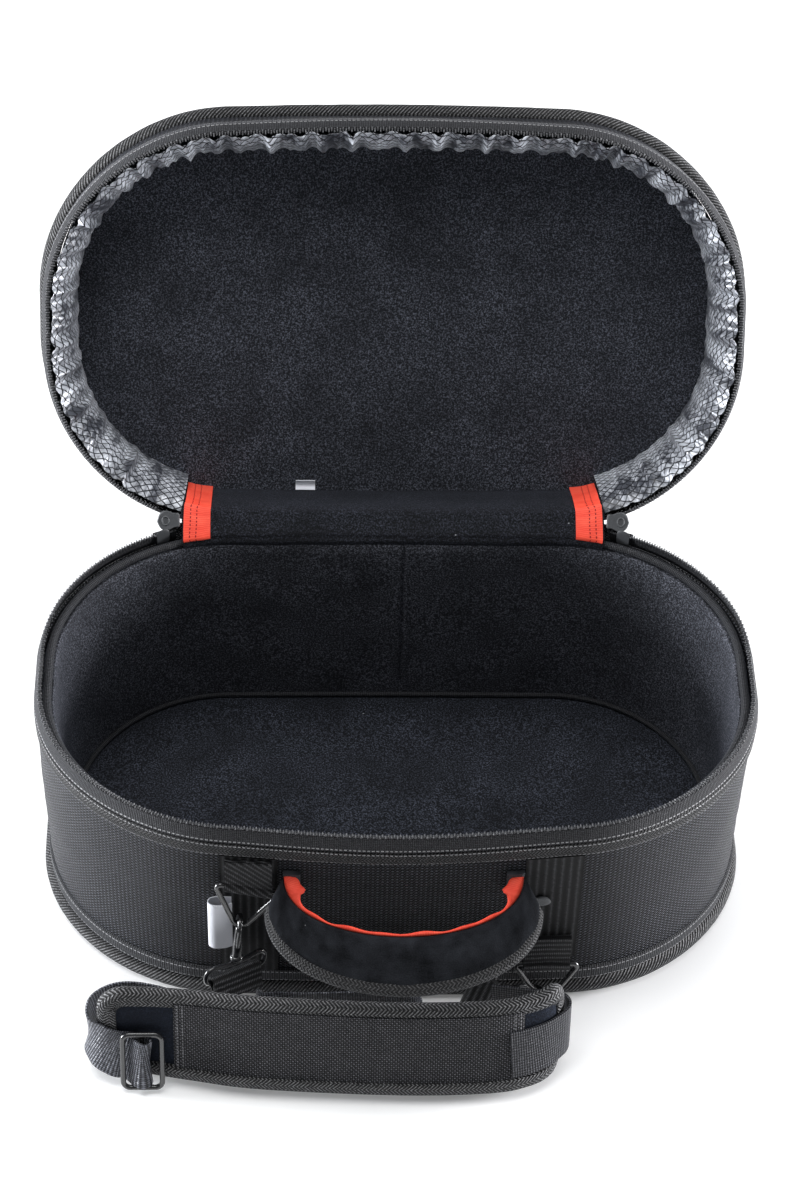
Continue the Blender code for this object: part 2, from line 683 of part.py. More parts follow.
def build_lid(slots):
    place = lid_place()
    base = ZIP_HEIGHT

    def up(pairs):
        return [(o, base + z) for o, z in pairs]

    start = open_stations(ZIP_END)

    teeth = [(-1.0 * MM, GAP), (1.2 * MM, GAP), (1.5 * MM, GAP + TEETH_HEIGHT), (-1.3 * MM, GAP + TEETH_HEIGHT)]
    ring("lid_zip_teeth", up(teeth), slots["teeth"], start, place)
    low = 2 * GAP + TEETH_HEIGHT
    top = low + TAPE_HEIGHT
    tape = [(0.1 * MM, low), (1.5 * MM, low), (4.4 * MM, top), (3.0 * MM, top)]
    ring("lid_zip_tape", up(tape), slots["zip_tape"], start, place)

    wall_low = LID_WALL_LOW
    wall = [
        (1.0 * MM, wall_low),
        (3.0 * MM, wall_low),
        (3.4 * MM, LID_WALL_TOP),
        (1.4 * MM, LID_WALL_TOP),
    ]
    ring("lid_wall", up(wall), slots["ballistic"], None, place)
    band = [
        (3.0 * MM + GAP, wall_low),
        (4.6 * MM, wall_low + 0.8 * MM),
        (4.8 * MM, wall_low + 11.5 * MM),
        (3.1 * MM + GAP, wall_low + 12.3 * MM),
    ]
    ring("lid_band", up(band), slots["herringbone"], None, place)

    centre = LID_DEPTH - PIPING_RADIUS
    piping = bead(4.4 * MM, centre, PIPING_RADIUS + 0.2 * MM, 8, 0.97)
    ring("lid_piping", up(piping), slots["herringbone"], None, place, 60.0)

    edge = 4.4 * MM - PIPING_RADIUS - 0.2 * MM - GAP
    panel_low = 65.8 * MM
    levels = [
        (edge, panel_low),
        (edge, LID_DEPTH - 1.5 * MM),
        (edge - 2.0 * MM, LID_DEPTH - 0.4 * MM),
        (edge - 60 * MM, LID_DEPTH + 2.0 * MM),
    ]
    plate("lid_top", up(levels), slots["ballistic"], place)
    foam_low = LINING_DEPTH + GAP
    levels = [
        (-60 * MM, foam_low - 1.2 * MM),
        (-21 * MM, foam_low),
        (edge, foam_low),
        (edge, panel_low - GAP),
    ]
    plate("lid_foam", up(levels), slots["fleece"], place)

    def lining(s):
        fade = min(1.0, (s - STRIP_END) / (14 * MM), (PLAN_LENGTH - STRIP_END - s) / (14 * MM))
        wave = pucker(s) * PUCKER_DEPTH * max(0.0, fade)
        near = min(s, PLAN_LENGTH - s)
        lift = 12.5 * MM * min(1.0, max(0.0, (TAB_REACH - near) / (18 * MM)))
        b = LINING_BULGE
        flat = LINING_DEPTH
        return up(
            [
                (-0.5 * MM, 3.4 * MM + lift),
                (0.4 * MM, wall_low + 2 * MM + 0.3 * lift),
                (0.4 * MM, flat),
                (-b + 0.3 * wave, flat),
                (-b - 0.6 * MM + wave, 43 * MM),
                (-b + 1.5 * MM + wave, 27 * MM),
                (-b + 7.5 * MM + 0.6 * wave, 12 * MM + 0.55 * lift),
                (-3.2 * MM, 3.4 * MM + lift),
            ]
        )

    fine = []
    s = STRIP_END
    while s < PLAN_LENGTH - STRIP_END:
        fine.append(s)
        s += 6.4 * MM
    fine[-1] = PLAN_LENGTH - STRIP_END
    ring("lid_lining", lining, slots["ripstop"], fine, place, 60.0)

    strip = [
        (0.5 * MM, 1.0 * MM),
        (0.5 * MM, LINING_DEPTH - 1 * MM),
        (-9.5 * MM, LINING_DEPTH - 1 * MM),
        (-10.5 * MM, 42 * MM),
        (-10.5 * MM, 20 * MM),
        (-8.5 * MM, 4.0 * MM),
        (-4.0 * MM, 1.0 * MM),
    ]
    along = STRIP_END - 2 * GAP
    half_back = [35 * MM, 75 * MM, 117 * MM, 123 * MM, 129.5 * MM, 134.5 * MM, 139.5 * MM, 144.5 * MM, along]
    back = [PLAN_LENGTH - s for s in reversed(half_back)] + [0.0] + half_back
    ring("hinge_strip", up(strip), slots["fleece"], back, place)
    cover = [(1.0 * MM, 1.0 * MM), (2.7 * MM, 1.0 * MM), (2.7 * MM, wall_low - GAP), (1.0 * MM, wall_low - GAP)]
    ring("hinge_cover", up(cover), slots["ballistic"], back, place)

    tape = [
        (-8.9 * MM - GAP, 3.0 * MM),
        (-10.9 * MM - GAP, 20 * MM),
        (-10.9 * MM - GAP, 42 * MM),
        (-10.0 * MM - GAP, LINING_DEPTH - 1 * MM),
        (-11.6 * MM - GAP, LINING_DEPTH - 1 * MM),
        (-12.5 * MM - GAP, 42 * MM),
        (-12.5 * MM - GAP, 20 * MM),
        (-10.2 * MM - GAP, 3.0 * MM),
    ]
    for word, sign in (("left", -1), ("right", 1)):
        spots = [sign * (129.5 + 5 * k) * MM % PLAN_LENGTH for k in range(5)]
        ring("hinge_binding_" + word, up(tape), slots["red"], spots, place)

    tag = [(-11.4 * MM, 53.2 * MM), (-10.2 * MM, 53.2 * MM), (-18.4 * MM, 57.6 * MM), (-18.9 * MM, 56.4 * MM)]
    spots = [PLAN_LENGTH - 72 * MM, PLAN_LENGTH - 58 * MM]
    ring("seam_tag", up(tag), slots["white"], spots, place)


def strap_frames(points, steps, height, foot):
    """Frames for a strip that stands on its edge; points are (x, y, lean in degrees)."""
    line = smooth_path([(x * MM, y * MM, foot) for x, y, lean in points], steps)
    leans = smooth_path([(lean, 0.0, 0.0) for x, y, lean in points], steps)
    frames = []
    for i, p in enumerate(line):
        ahead = line[min(i + 1, len(line) - 1)] - line[max(i - 1, 0)]
        ahead.z = 0.0
        ahead.normalize()
        sideways = Vector((ahead.y, -ahead.x, 0.0))
        lean = math.radians(leans[i].x)
        up = Vector((0.0, math.sin(lean), math.cos(lean)))
        frames.append((p + up * height / 2, sideways, up))
    return frames


def build_strap(slots):
    """Padded part of the strap: soft core, twill face and a binding along both long edges."""
    line = [(-193, -200, 5), (-184, -201, 7), (-168, -205, 11), (-135, -211.5, 15), (-90, -218.5, 17)]
    line += [(0, -223.5, 17), (62, -222, 17), (88, -216, 17), (100, -208, 15), (105, -199, 14)]
    foot = 3.4 * MM
    inner = PAD_HEIGHT - 2 * EDGE_BINDING
    rise = 5.2 * MM
    frames = strap_frames(line, 3, inner, foot + rise)
    sweep("strap_pad", frames, soft_section(PAD_THICKNESS, inner, 1.6 * MM), slots["neoprene"])

    panel = []
    for place, first, second in frames[8:21]:
        panel.append((place + first * (PAD_THICKNESS / 2 + GAP + PANEL_THICKNESS / 2), first, second))
    sweep("strap_panel", panel, box_section(PANEL_THICKNESS, inner - 3.0 * MM), slots["twill"])

    half_thick = PAD_THICKNESS / 2 + 1.2 * MM
    half_tall = 3.0 * MM
    section = [(u * half_thick, v * half_tall) for u, v in circle(1.0, 8, math.pi / 8)]
    shift = inner / 2 + half_tall + GAP
    for word, side in (("lower", -1), ("upper", 1)):
        moved = [(place + second * side * shift, first, second) for place, first, second in frames]
        sweep("strap_binding_" + word, moved, section, slots["herringbone"], sharp=60.0)
    return frames


def webbing_run(name, points, steps, width, thick, slot):
    """Webbing through points (x, y, z, ux, uy, uz) in mm; u points across the webbing's width."""
    spots = smooth_path([(x * MM, y * MM, z * MM) for x, y, z, ux, uy, uz in points], steps)
    ups = smooth_path([(ux, uy, uz) for x, y, z, ux, uy, uz in points], steps)
    frames = []
    for i, p in enumerate(spots):
        ahead = (spots[min(i + 1, len(spots) - 1)] - spots[max(i - 1, 0)]).normalized()
        across = (ups[i] - ahead * ups[i].dot(ahead)).normalized()
        frames.append((p, ahead.cross(across), across))
    return sweep(name, frames, box_section(thick, width), slot)


def build_hooks(slots, rings):
    """The left hook hangs from its ring; the right one lies to the left of its ring."""
    bar, spin = rings["left"]
    stem = Vector((-0.08, -0.10, -1.0)).normalized()
    seat = bar + spin @ Vector((0.0, 0.0, -RING_DROP + APEX_LIFT)) + stem * 2.6 * MM
    normal = spin @ Vector((1.0, 0.0, 0.0))
    snap_hook("left", seat, stem, normal, Vector((0.85, 0.53, 0.0)), Vector((0.28, -0.45, -0.85)), slots)
    bar, spin = rings["right"]
    stem = Vector((-0.93, -0.22, 0.30)).normalized()
    leg = Vector((-RING_WIDTH / 2, 0.0, RING_DROP)).normalized()
    spot = Vector((0.0, 0.0, -RING_DROP)) + leg * 16.0 * MM
    seat = bar + spin @ spot + stem * 1.0 * MM
    snap_hook("right", seat, stem, spin @ leg, Vector((0.25, 0.1, 1.0)), Vector((0.8, -0.6, 0.0)), slots)


def edge(lean):
    """Width direction of webbing that stands on its edge, leaning back by some degrees."""
    return (0.0, math.sin(math.radians(lean)), math.cos(math.radians(lean)))


def build_belt(slots, frames):
    """Shiny strap webbing: right end to the right hook, left end through the slider to the left hook."""
    points = []
    for spot, first, second in (frames[19], frames[20], frames[21], frames[23]):
        lift = PAD_THICKNESS / 2 + 2.2 * GAP + PANEL_THICKNESS + BELT_THICKNESS / 2
        points.append((*((spot + first * lift - second * 2 * MM) / MM), *second))
    right = [(112.5, -197.5, 36, 13), (115, -188, 35, 9), (109, -179.5, 33.5, 5)]
    right += [(92, -175, 31.5, 2), (64.5, -168.8, 29.5, 0)]
    points += [(x, y, z, *edge(lean)) for x, y, z, lean in right]
    webbing_run("belt_right", points, 3, BELT_WIDTH, BELT_THICKNESS, slots["belt"])
    left = [(-186, -205.6, 24.5, 8), (-176, -206.7, 24, 10), (-169, -209.4, 24, 13), (-165.2, -213.6, 24, 17)]
    left += [(-168.2, -217.8, 24, 17), (-173, -216.4, 24, 17), (-180, -210.4, 24.5, 17)]
    left += [(-188, -208.4, 26, 17), (-198, -204, 30, 14), (-205, -195, 34, 10), (-201, -183, 37, 7)]
    left += [(-186, -175, 38, 6), (-165, -175, 36, 6), (-135, -183, 31, 12)]
    left += [(-100, -191, 27, 14), (-50, -193.5, 25, 15), (-5, -191, 24, 12), (12, -184, 23, 6)]
    left += [(16, -175, 23, 0), (6, -168.5, 23, -3), (-20, -167, 22, -4)]
    points = [(x, y, z, *edge(lean)) for x, y, z, lean in left]
    points += [(-58, -167, 21, 0.1, -0.1, 1.0), (-80, -170, 20.5, 0.5, 0.2, 0.8)]
    points += [(-96, -173.6, 20.6, 0.8, 0.4, 0.3), (-103.2, -172.3, 25.0, 0.845, 0.52, -0.12)]
    points += [(-104.3, -170.0, 29.0, 0.845, 0.52, -0.12)]
    webbing_run("belt_left", points, 3, BELT_WIDTH, BELT_THICKNESS, slots["belt"])


def slider_buckle(slot):
    """Wire-frame slider with a middle bar, standing on the floor in front of the pad."""
    lean = math.radians(PAD_LEAN)
    up = Vector((0.0, math.sin(lean), math.cos(lean)))
    side = Vector((1.0, 0.0, 0.0))
    out = side.cross(up)
    middle = Vector((-169.5 * MM, -213.6 * MM, 24.0 * MM))
    half_w = 13.0 * MM
    half_h = 21.6 * MM
    bend = 5.0 * MM
    wire = 1.9 * MM
    points = []
    for sx, sz, start in ((1, 1, 0), (-1, 1, 90), (-1, -1, 180), (1, -1, 270)):
        for k in range(4):
            a = math.radians(start + 30 * k)
            points.append((sx * (half_w - bend) + bend * math.cos(a), sz * (half_h - bend) + bend * math.sin(a)))
    frames = []
    count = len(points)
    spots = [middle + side * u + up * v for u, v in points]
    for i, p in enumerate(spots):
        ahead = (spots[(i + 1) % count] - spots[i - 1]).normalized()
        frames.append((p, ahead.cross(out), out))
    sweep("slider_frame", frames, circle(wire, 6), slot, True, middle, 60.0)
    reach = half_h - wire - GAP
    frames = [(middle + up * v, side, out) for v in (-reach, 0.0, reach)]
    sweep("slider_bar", frames, circle(1.6 * MM, 6), slot, False, middle, 60.0)


def build():
    clear_scene()
    slots = {
        "ballistic": material("nylon_ballistic", (0.045, 0.047, 0.056), 0.55, 0.0, 0.3),
        "fleece": material("fleece_black", (0.012, 0.013, 0.016), 0.95, 0.0, 0.5),
        "fleece_floor": material("fleece_floor", (0.014, 0.016, 0.021), 0.95, 0.0, 0.5),
        "herringbone": material("binding_herringbone", (0.040, 0.041, 0.046), 0.7),
        "binding": material("binding_plain", (0.035, 0.036, 0.042), 0.6),
        "binding_fine": material("binding_fine", (0.025, 0.026, 0.030), 0.7),
        "tape": material("tape_plain", (0.040, 0.042, 0.048), 0.65),
        "zip_tape": material("zip_tape", (0.030, 0.031, 0.036), 0.7),
        "teeth": material("zip_teeth", (0.030, 0.030, 0.032), 0.35),
        "webbing": material("webbing_ribbed", (0.020, 0.021, 0.023), 0.75),
        "belt": material("webbing_belt", (0.060, 0.066, 0.080), 0.35),
        "metal": material("metal_black", (0.030, 0.031, 0.034), 0.28, 0.9),
        "suede": material("suede_black", (0.020, 0.022, 0.026), 0.9, 0.0, 0.4),
        "neoprene": material("neoprene_black", (0.016, 0.017, 0.020), 0.85),
        "twill": material("twill_dark", (0.030, 0.030, 0.036), 0.7),
        "red": material("tape_red", (0.780, 0.050, 0.035), 0.6),
        "ripstop": material("ripstop_silver", (0.300, 0.315, 0.345), 0.38, 0.15),
        "rubber": material("rubber_grey", (0.060, 0.063, 0.068), 0.6),
        "white": material("label_white", (0.720, 0.730, 0.770), 0.6),
    }
    build_tub(slots)
    rings = build_front(slots)
    build_handle(slots)
    build_zip_ends(slots)
    build_lid(slots)
    frames = build_strap(slots)
    build_hooks(slots, rings)
    build_belt(slots, frames)
    slider_buckle(slots["metal"])


build()
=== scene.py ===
"""Looks of the soft bongo bag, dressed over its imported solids: woven skins, herringbone bindings,
coil zips, gathered ripstop lining, fleece inside, suede handle and shoulder strap."""

from math import atan, ceil, copysign, cos, exp, pi, radians, sin, sqrt, tan

import bmesh
import bpy
from mathutils import Matrix, Vector, noise


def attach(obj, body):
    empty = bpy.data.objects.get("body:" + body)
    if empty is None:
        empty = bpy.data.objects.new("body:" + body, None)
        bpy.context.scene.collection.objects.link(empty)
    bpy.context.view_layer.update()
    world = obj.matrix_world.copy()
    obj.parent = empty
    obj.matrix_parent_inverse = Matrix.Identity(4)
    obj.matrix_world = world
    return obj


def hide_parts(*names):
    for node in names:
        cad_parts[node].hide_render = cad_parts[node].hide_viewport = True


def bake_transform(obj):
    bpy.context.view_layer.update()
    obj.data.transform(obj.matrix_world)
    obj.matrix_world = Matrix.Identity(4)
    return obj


MM = 0.001
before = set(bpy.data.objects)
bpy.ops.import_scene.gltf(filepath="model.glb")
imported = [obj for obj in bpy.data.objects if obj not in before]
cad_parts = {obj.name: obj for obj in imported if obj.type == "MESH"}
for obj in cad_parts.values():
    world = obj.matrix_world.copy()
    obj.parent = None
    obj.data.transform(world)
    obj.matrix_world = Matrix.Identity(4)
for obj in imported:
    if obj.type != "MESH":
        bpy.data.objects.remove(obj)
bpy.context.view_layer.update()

# Sizes repeated from the solids, in millimetres.
HALF_LENGTH = 240.0
HALF_WIDTH = 138.5
CORNER = 122.0
FRONT_BOW = 0.060
BACK_BOW = 0.030
MOUTH_DROP = 8.0
MOUTH_BULGE = 4.0
MOUTH_SPREAD = 115.0
GAP = 0.35
FOAM_GAP = 0.7
ZIP_HEIGHT = 180.0
PIPING_TOP = 13.0
BASE_BAND_TOP = 26.5
RIM_BAND = 12.5
TAPE = 10.5
WALL_TOP = 166.4
WALL_LOW_OFFSET = -0.8
WALL_TOP_OFFSET = 2.6
WALL = 2.0
FOAM = 9.0
FLOOR_TOP = 15.5
LID_DEPTH = 70.5
LID_ANGLE = 119.0
HINGE = Vector((0.0, 137.0, 179.0))
LID_LOW = 13.65
LID_TOP = 58.5
LINING_DEPTH = 59.4
STRIP_END = 151.0
ZIP_END = 168.0
TAB_REACH = 184.0
WEBBING = 38.0
WEBBING_X = 99.0
WEB_THICK = 1.8
LOOP_WIDTH = 31.4
RING_WIRE = 1.9
RING_WIDTH = 45.0
RING_DROP = 37.0
SHANK = 26.0
HANDLE_PIVOT = Vector((3.0, -149.5, 130.1))
HANDLE_TILT = 57.0
HANDLE_THICK = 13.0
PAD_HEIGHT = 76.0
PAD_THICK = 7.5
BELT_WIDTH = 37.0
BELT_THICK = 1.4

# Sizes of the scene's own pieces, in millimetres.
TOOTH_PITCH = 1.95
SLIDER_AT = 163.0
TAB_ROOT = 149.5
TAB_TIP = 164.0
TAB_HEIGHT = 185.0
RED_START = 129.5
HOOK_BEND = 7.3
EYE_WIRE = 1.8
PUCKER = 19.0
COVER_END = 148.8
WING_START = 147.8
WING_STOP = 169.0
TAG_LOW = 62.0
TAG_TOP = 109.0
PAD_CORNER = 13.0

# Steps of the strap's track between which its woven face lies.
FACE_START = 32
FACE_STOP = 80

STRAIGHT_X = HALF_LENGTH - CORNER
STRAIGHT_Y = HALF_WIDTH - CORNER
ARC = pi / 2 * CORNER
LENGTH = 4 * (STRAIGHT_X + STRAIGHT_Y + ARC)
FRONT = LENGTH / 2
LOW = PIPING_TOP + GAP
X = Vector((1.0, 0.0, 0.0))
Y = Vector((0.0, 1.0, 0.0))
SIDES = (("left", -1), ("right", 1))

# Shapes.


def clamp(x):
    return max(0.0, min(1.0, x))


def plan_frame(along):
    """Point and outward direction on the plan, clockwise from the middle of the back."""
    s = (along + STRAIGHT_X) % LENGTH
    for turn, nx, ny in ((90, 0, 1), (0, 1, 0), (-90, 0, -1), (180, -1, 0)):
        run = STRAIGHT_X if ny else STRAIGHT_Y
        if s <= 2 * run:
            return nx * HALF_LENGTH + ny * (s - run), ny * HALF_WIDTH - nx * (s - run), nx, ny
        s -= 2 * run
        if s <= ARC + 1e-6:
            angle = radians(turn) - s / CORNER
            c, n = cos(angle), sin(angle)
            return (nx + ny) * STRAIGHT_X + CORNER * c, (ny - nx) * STRAIGHT_Y + CORNER * n, c, n
        s -= ARC


def mouth_share(x, y, height):
    """How much the open mouth sags at a place; most in the middle of the front."""
    if height < ZIP_HEIGHT:
        level = (height - PIPING_TOP) / (WALL_TOP - PIPING_TOP)
    else:
        level = (ZIP_HEIGHT + LID_TOP - height) / (LID_TOP - LID_LOW)
    return clamp(-y / HALF_WIDTH * 2 - 1) * clamp(level) * exp(-((x / MOUTH_SPREAD) ** 2))


def plan_point(along, offset, height):
    x, y, nx, ny = plan_frame(along)
    x += nx * offset
    y += ny * offset
    y *= 1 - (FRONT_BOW if y < 0 else BACK_BOW) * (x / HALF_LENGTH) ** 2
    ease = mouth_share(x, y, height)
    return Vector((x, y - ease * MOUTH_BULGE, height - ease * MOUTH_DROP))


def lid_open():
    turn = Matrix.Rotation(radians(-LID_ANGLE), 4, "X")
    return Matrix.Translation(HINGE) @ turn @ Matrix.Translation(-HINGE)


OPEN = lid_open()


def lid_point(along, offset, height):
    """The same for the open lid; its heights start at the zip."""
    return OPEN @ plan_point(along, offset, ZIP_HEIGHT + height)


def wall_offset(height):
    part = (height - PIPING_TOP) / (WALL_TOP - PIPING_TOP)
    return WALL_LOW_OFFSET + (WALL_TOP_OFFSET - WALL_LOW_OFFSET) * part


def wall_y(x, height, lift=0.0):
    return plan_point(FRONT - x, wall_offset(height) + lift, height).y


def spread(start, stop, step):
    count = max(2, int(ceil((stop - start) / step)))
    return [start + (stop - start) * i / count for i in range(count + 1)]


def line(a, b, count):
    """Points from a to b, both kept."""
    return [(a[0] + (b[0] - a[0]) * i / count, a[1] + (b[1] - a[1]) * i / count) for i in range(count + 1)]


def smooth_path(points, steps):
    """Catmull-Rom curve through the given points, in the plane or in space."""
    spots = [Vector((*p, 0.0)[:3]) for p in points]
    spots = [spots[0] * 2 - spots[1]] + spots + [spots[-1] * 2 - spots[-2]]
    out = []
    for a, b, c, d in zip(spots, spots[1:], spots[2:], spots[3:]):
        for k in range(steps):
            t = k / steps
            bend = 2 * b + (c - a) * t
            bend += (2 * a - 5 * b + 4 * c - d) * t * t
            bend += (3 * b - a - 3 * c + d) * t * t * t
            out.append(bend / 2)
    return out + [spots[-2].copy()]


def heading(points, i, ring=False):
    """Direction of a line of points at its point i."""
    ahead, behind = (i + 1) % len(points), i - 1
    if not ring:
        ahead, behind = min(i + 1, len(points) - 1), max(i - 1, 0)
    return (points[ahead] - points[behind]).normalized()


def lengths(points, ring=False):
    """Distance along a line of points, at each of them and, for a ring, back at the first."""
    run = [0.0]
    for a, b in zip(points, points[1:] + points[:1] * ring):
        run.append(run[-1] + (b - a).length)
    return run


def turns(count):
    return [2 * pi * i / count for i in range(count)]


def circle(radius, count, turn=0.0, squash=1.0):
    return [(radius * cos(a + turn), radius * squash * sin(a + turn)) for a in turns(count)]


def bead(o, z, radius, count=20, squash=1.0):
    return [(o + u, z + v) for u, v in circle(radius, count, -pi / 2, squash)]


def rounded(turn, power_u, power_v):
    """Point on the outline of a rounded box that reaches from -1 to 1."""
    c, s = cos(turn), sin(turn)
    return copysign(abs(c) ** power_u, c), copysign(abs(s) ** power_v, s)


def rough(*place, size=1.0, seed=0.0):
    """Smooth noise, about -1 to 1, at a place in millimetres."""
    spot = Vector((*place, *([0.0] * (3 - len(place))))) / size
    return noise.noise(spot + Vector((seed, seed * 0.7, seed * 1.3)))


def columns(rows):
    return [list(points) for points in zip(*rows)]


def grid(name, rows, look, us=None, sharp=38.0, ring=False, vs=None):
    """Skin over loops of points in mm. Its map 'weave' holds real distances in mm, along and across."""
    count = len(rows[0])
    us = us or list(range(len(rows)))
    across = [vs or lengths(row, True) for row in rows]
    faces = []
    maps = []
    for i in range(len(rows) if ring else len(rows) - 1):
        n = (i + 1) % len(rows)
        for j in range(count):
            k = (j + 1) % count
            faces.append((i * count + j, i * count + k, n * count + k, n * count + j))
            near = [(us[i], across[i][j]), (us[i], across[i][j + 1])]
            maps.append(near + [(us[i + 1], across[n][j + 1]), (us[i + 1], across[n][j])])
    if not ring:
        start = (len(rows) - 1) * count
        faces += [tuple(range(count - 1, -1, -1)), tuple(range(start, start + count))]
        maps.append([(us[0] + p.x * 0.1, p.z * 0.1) for p in reversed(rows[0])])
        maps.append([(us[-1] + p.x * 0.1, p.z * 0.1) for p in rows[-1]])
    return mesh_piece(name, [tuple(p * MM) for row in rows for p in row], faces, maps, look, sharp)


def mesh_piece(name, verts, faces, maps, look, sharp):
    mesh = bpy.data.meshes.new(name)
    mesh.from_pydata(verts, [], faces)
    layer = mesh.uv_layers.new(name="weave")
    layer.data.foreach_set("uv", [x for face in maps for spot in face for x in spot])
    work = bmesh.new()
    work.from_mesh(mesh)
    bmesh.ops.recalc_face_normals(work, faces=work.faces)
    work.to_mesh(mesh)
    work.free()
    mesh.materials.append(look.mat)
    mesh.shade_smooth()
    mesh.set_sharp_from_angle(angle=radians(sharp))
    thing = bpy.data.objects.new(name, mesh)
    bpy.context.scene.collection.objects.link(thing)
    return thing


def settle(thing, body, *nodes):
    """The piece rides on a body and stands for CAD nodes."""
    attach(thing, body)
    if nodes:
        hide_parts(*nodes)


def band(name, profile, look, stations=None, point=plan_point, sharp=38.0, wobble=None):
    """Carry an (offset, height) outline round the plan; wobble(s, j) adds to offset and height."""
    stations = stations or spread(0.0, LENGTH, 4.0)
    ring = stations[-1] > LENGTH - 0.1
    rows = []
    for s in stations[:-1] if ring else stations:
        added = [wobble(s, j) if wobble else (0.0, 0.0) for j in range(len(profile))]
        rows.append([point(s, o + do, z + dz) for (o, z), (do, dz) in zip(profile, added)])
    return grid(name, rows, look, stations, sharp, ring)


def cap(name, levels, look, first, dent, opened=False):
    """Skin over the tub's or the open lid's plan, edge to middle; dent(p) lifts it from level first on."""
    rows = []
    for n, (o, z) in enumerate(levels):
        row = [plan_point(s, o, z + ZIP_HEIGHT * opened) for s in spread(0.0, LENGTH, 5.0)[:-1]]
        for p in row:
            p.z += dent(p) if n >= first else 0.0
        rows.append([OPEN @ p for p in row] if opened else row)
    return grid(name, rows, look)


def dome(o, z, step, rise):
    """Levels from an edge inwards that rise to the middle."""
    return [(o - step * k, z + rise * (1 - (1 - k / 11) ** 2)) for k in range(1, 12)]


def sheet_of(name, rows, us, look, thick, sharp=60.0, vs=None):
    """A thin closed sheet from rows of points, thickened along its own normals."""
    turned = columns(rows)
    loops = []
    for i, row in enumerate(rows):
        back = []
        for j, p in enumerate(row):
            normal = heading(turned[j], i).cross(heading(row, j))
            back.append(p + normal.normalized() * thick)
        loops.append(row + back[::-1])
    if vs:
        vs = vs + [2 * vs[-1] + thick - v for v in reversed(vs)] + [2 * (vs[-1] + thick) - vs[0]]
    return grid(name, loops, look, us, sharp, vs=vs)


def strip_loop(points, axis, thick, puff=0.0):
    """Outline of a strip along points, seen along the axis of its width."""
    outer = []
    inner = []
    for i, p in enumerate(points):
        way = heading(points, i).cross(axis)
        outer.append(p + way * (thick / 2 + puff))
        inner.append(p - way * thick / 2)
    return outer + inner[::-1]


def wire_frames(points, normal, ring=False):
    frames = []
    for i, p in enumerate(points):
        ahead = heading(points, i, ring)
        first = ahead.cross(normal).normalized()
        frames.append((p, first, first.cross(ahead)))
    return frames


def tube(name, frames, section, look, ring=False):
    rows = [[place + first * u + second * v for u, v in section] for place, first, second in frames]
    return grid(name, rows, look, lengths([f[0] for f in frames], ring), 50.0, ring)


# Materials.


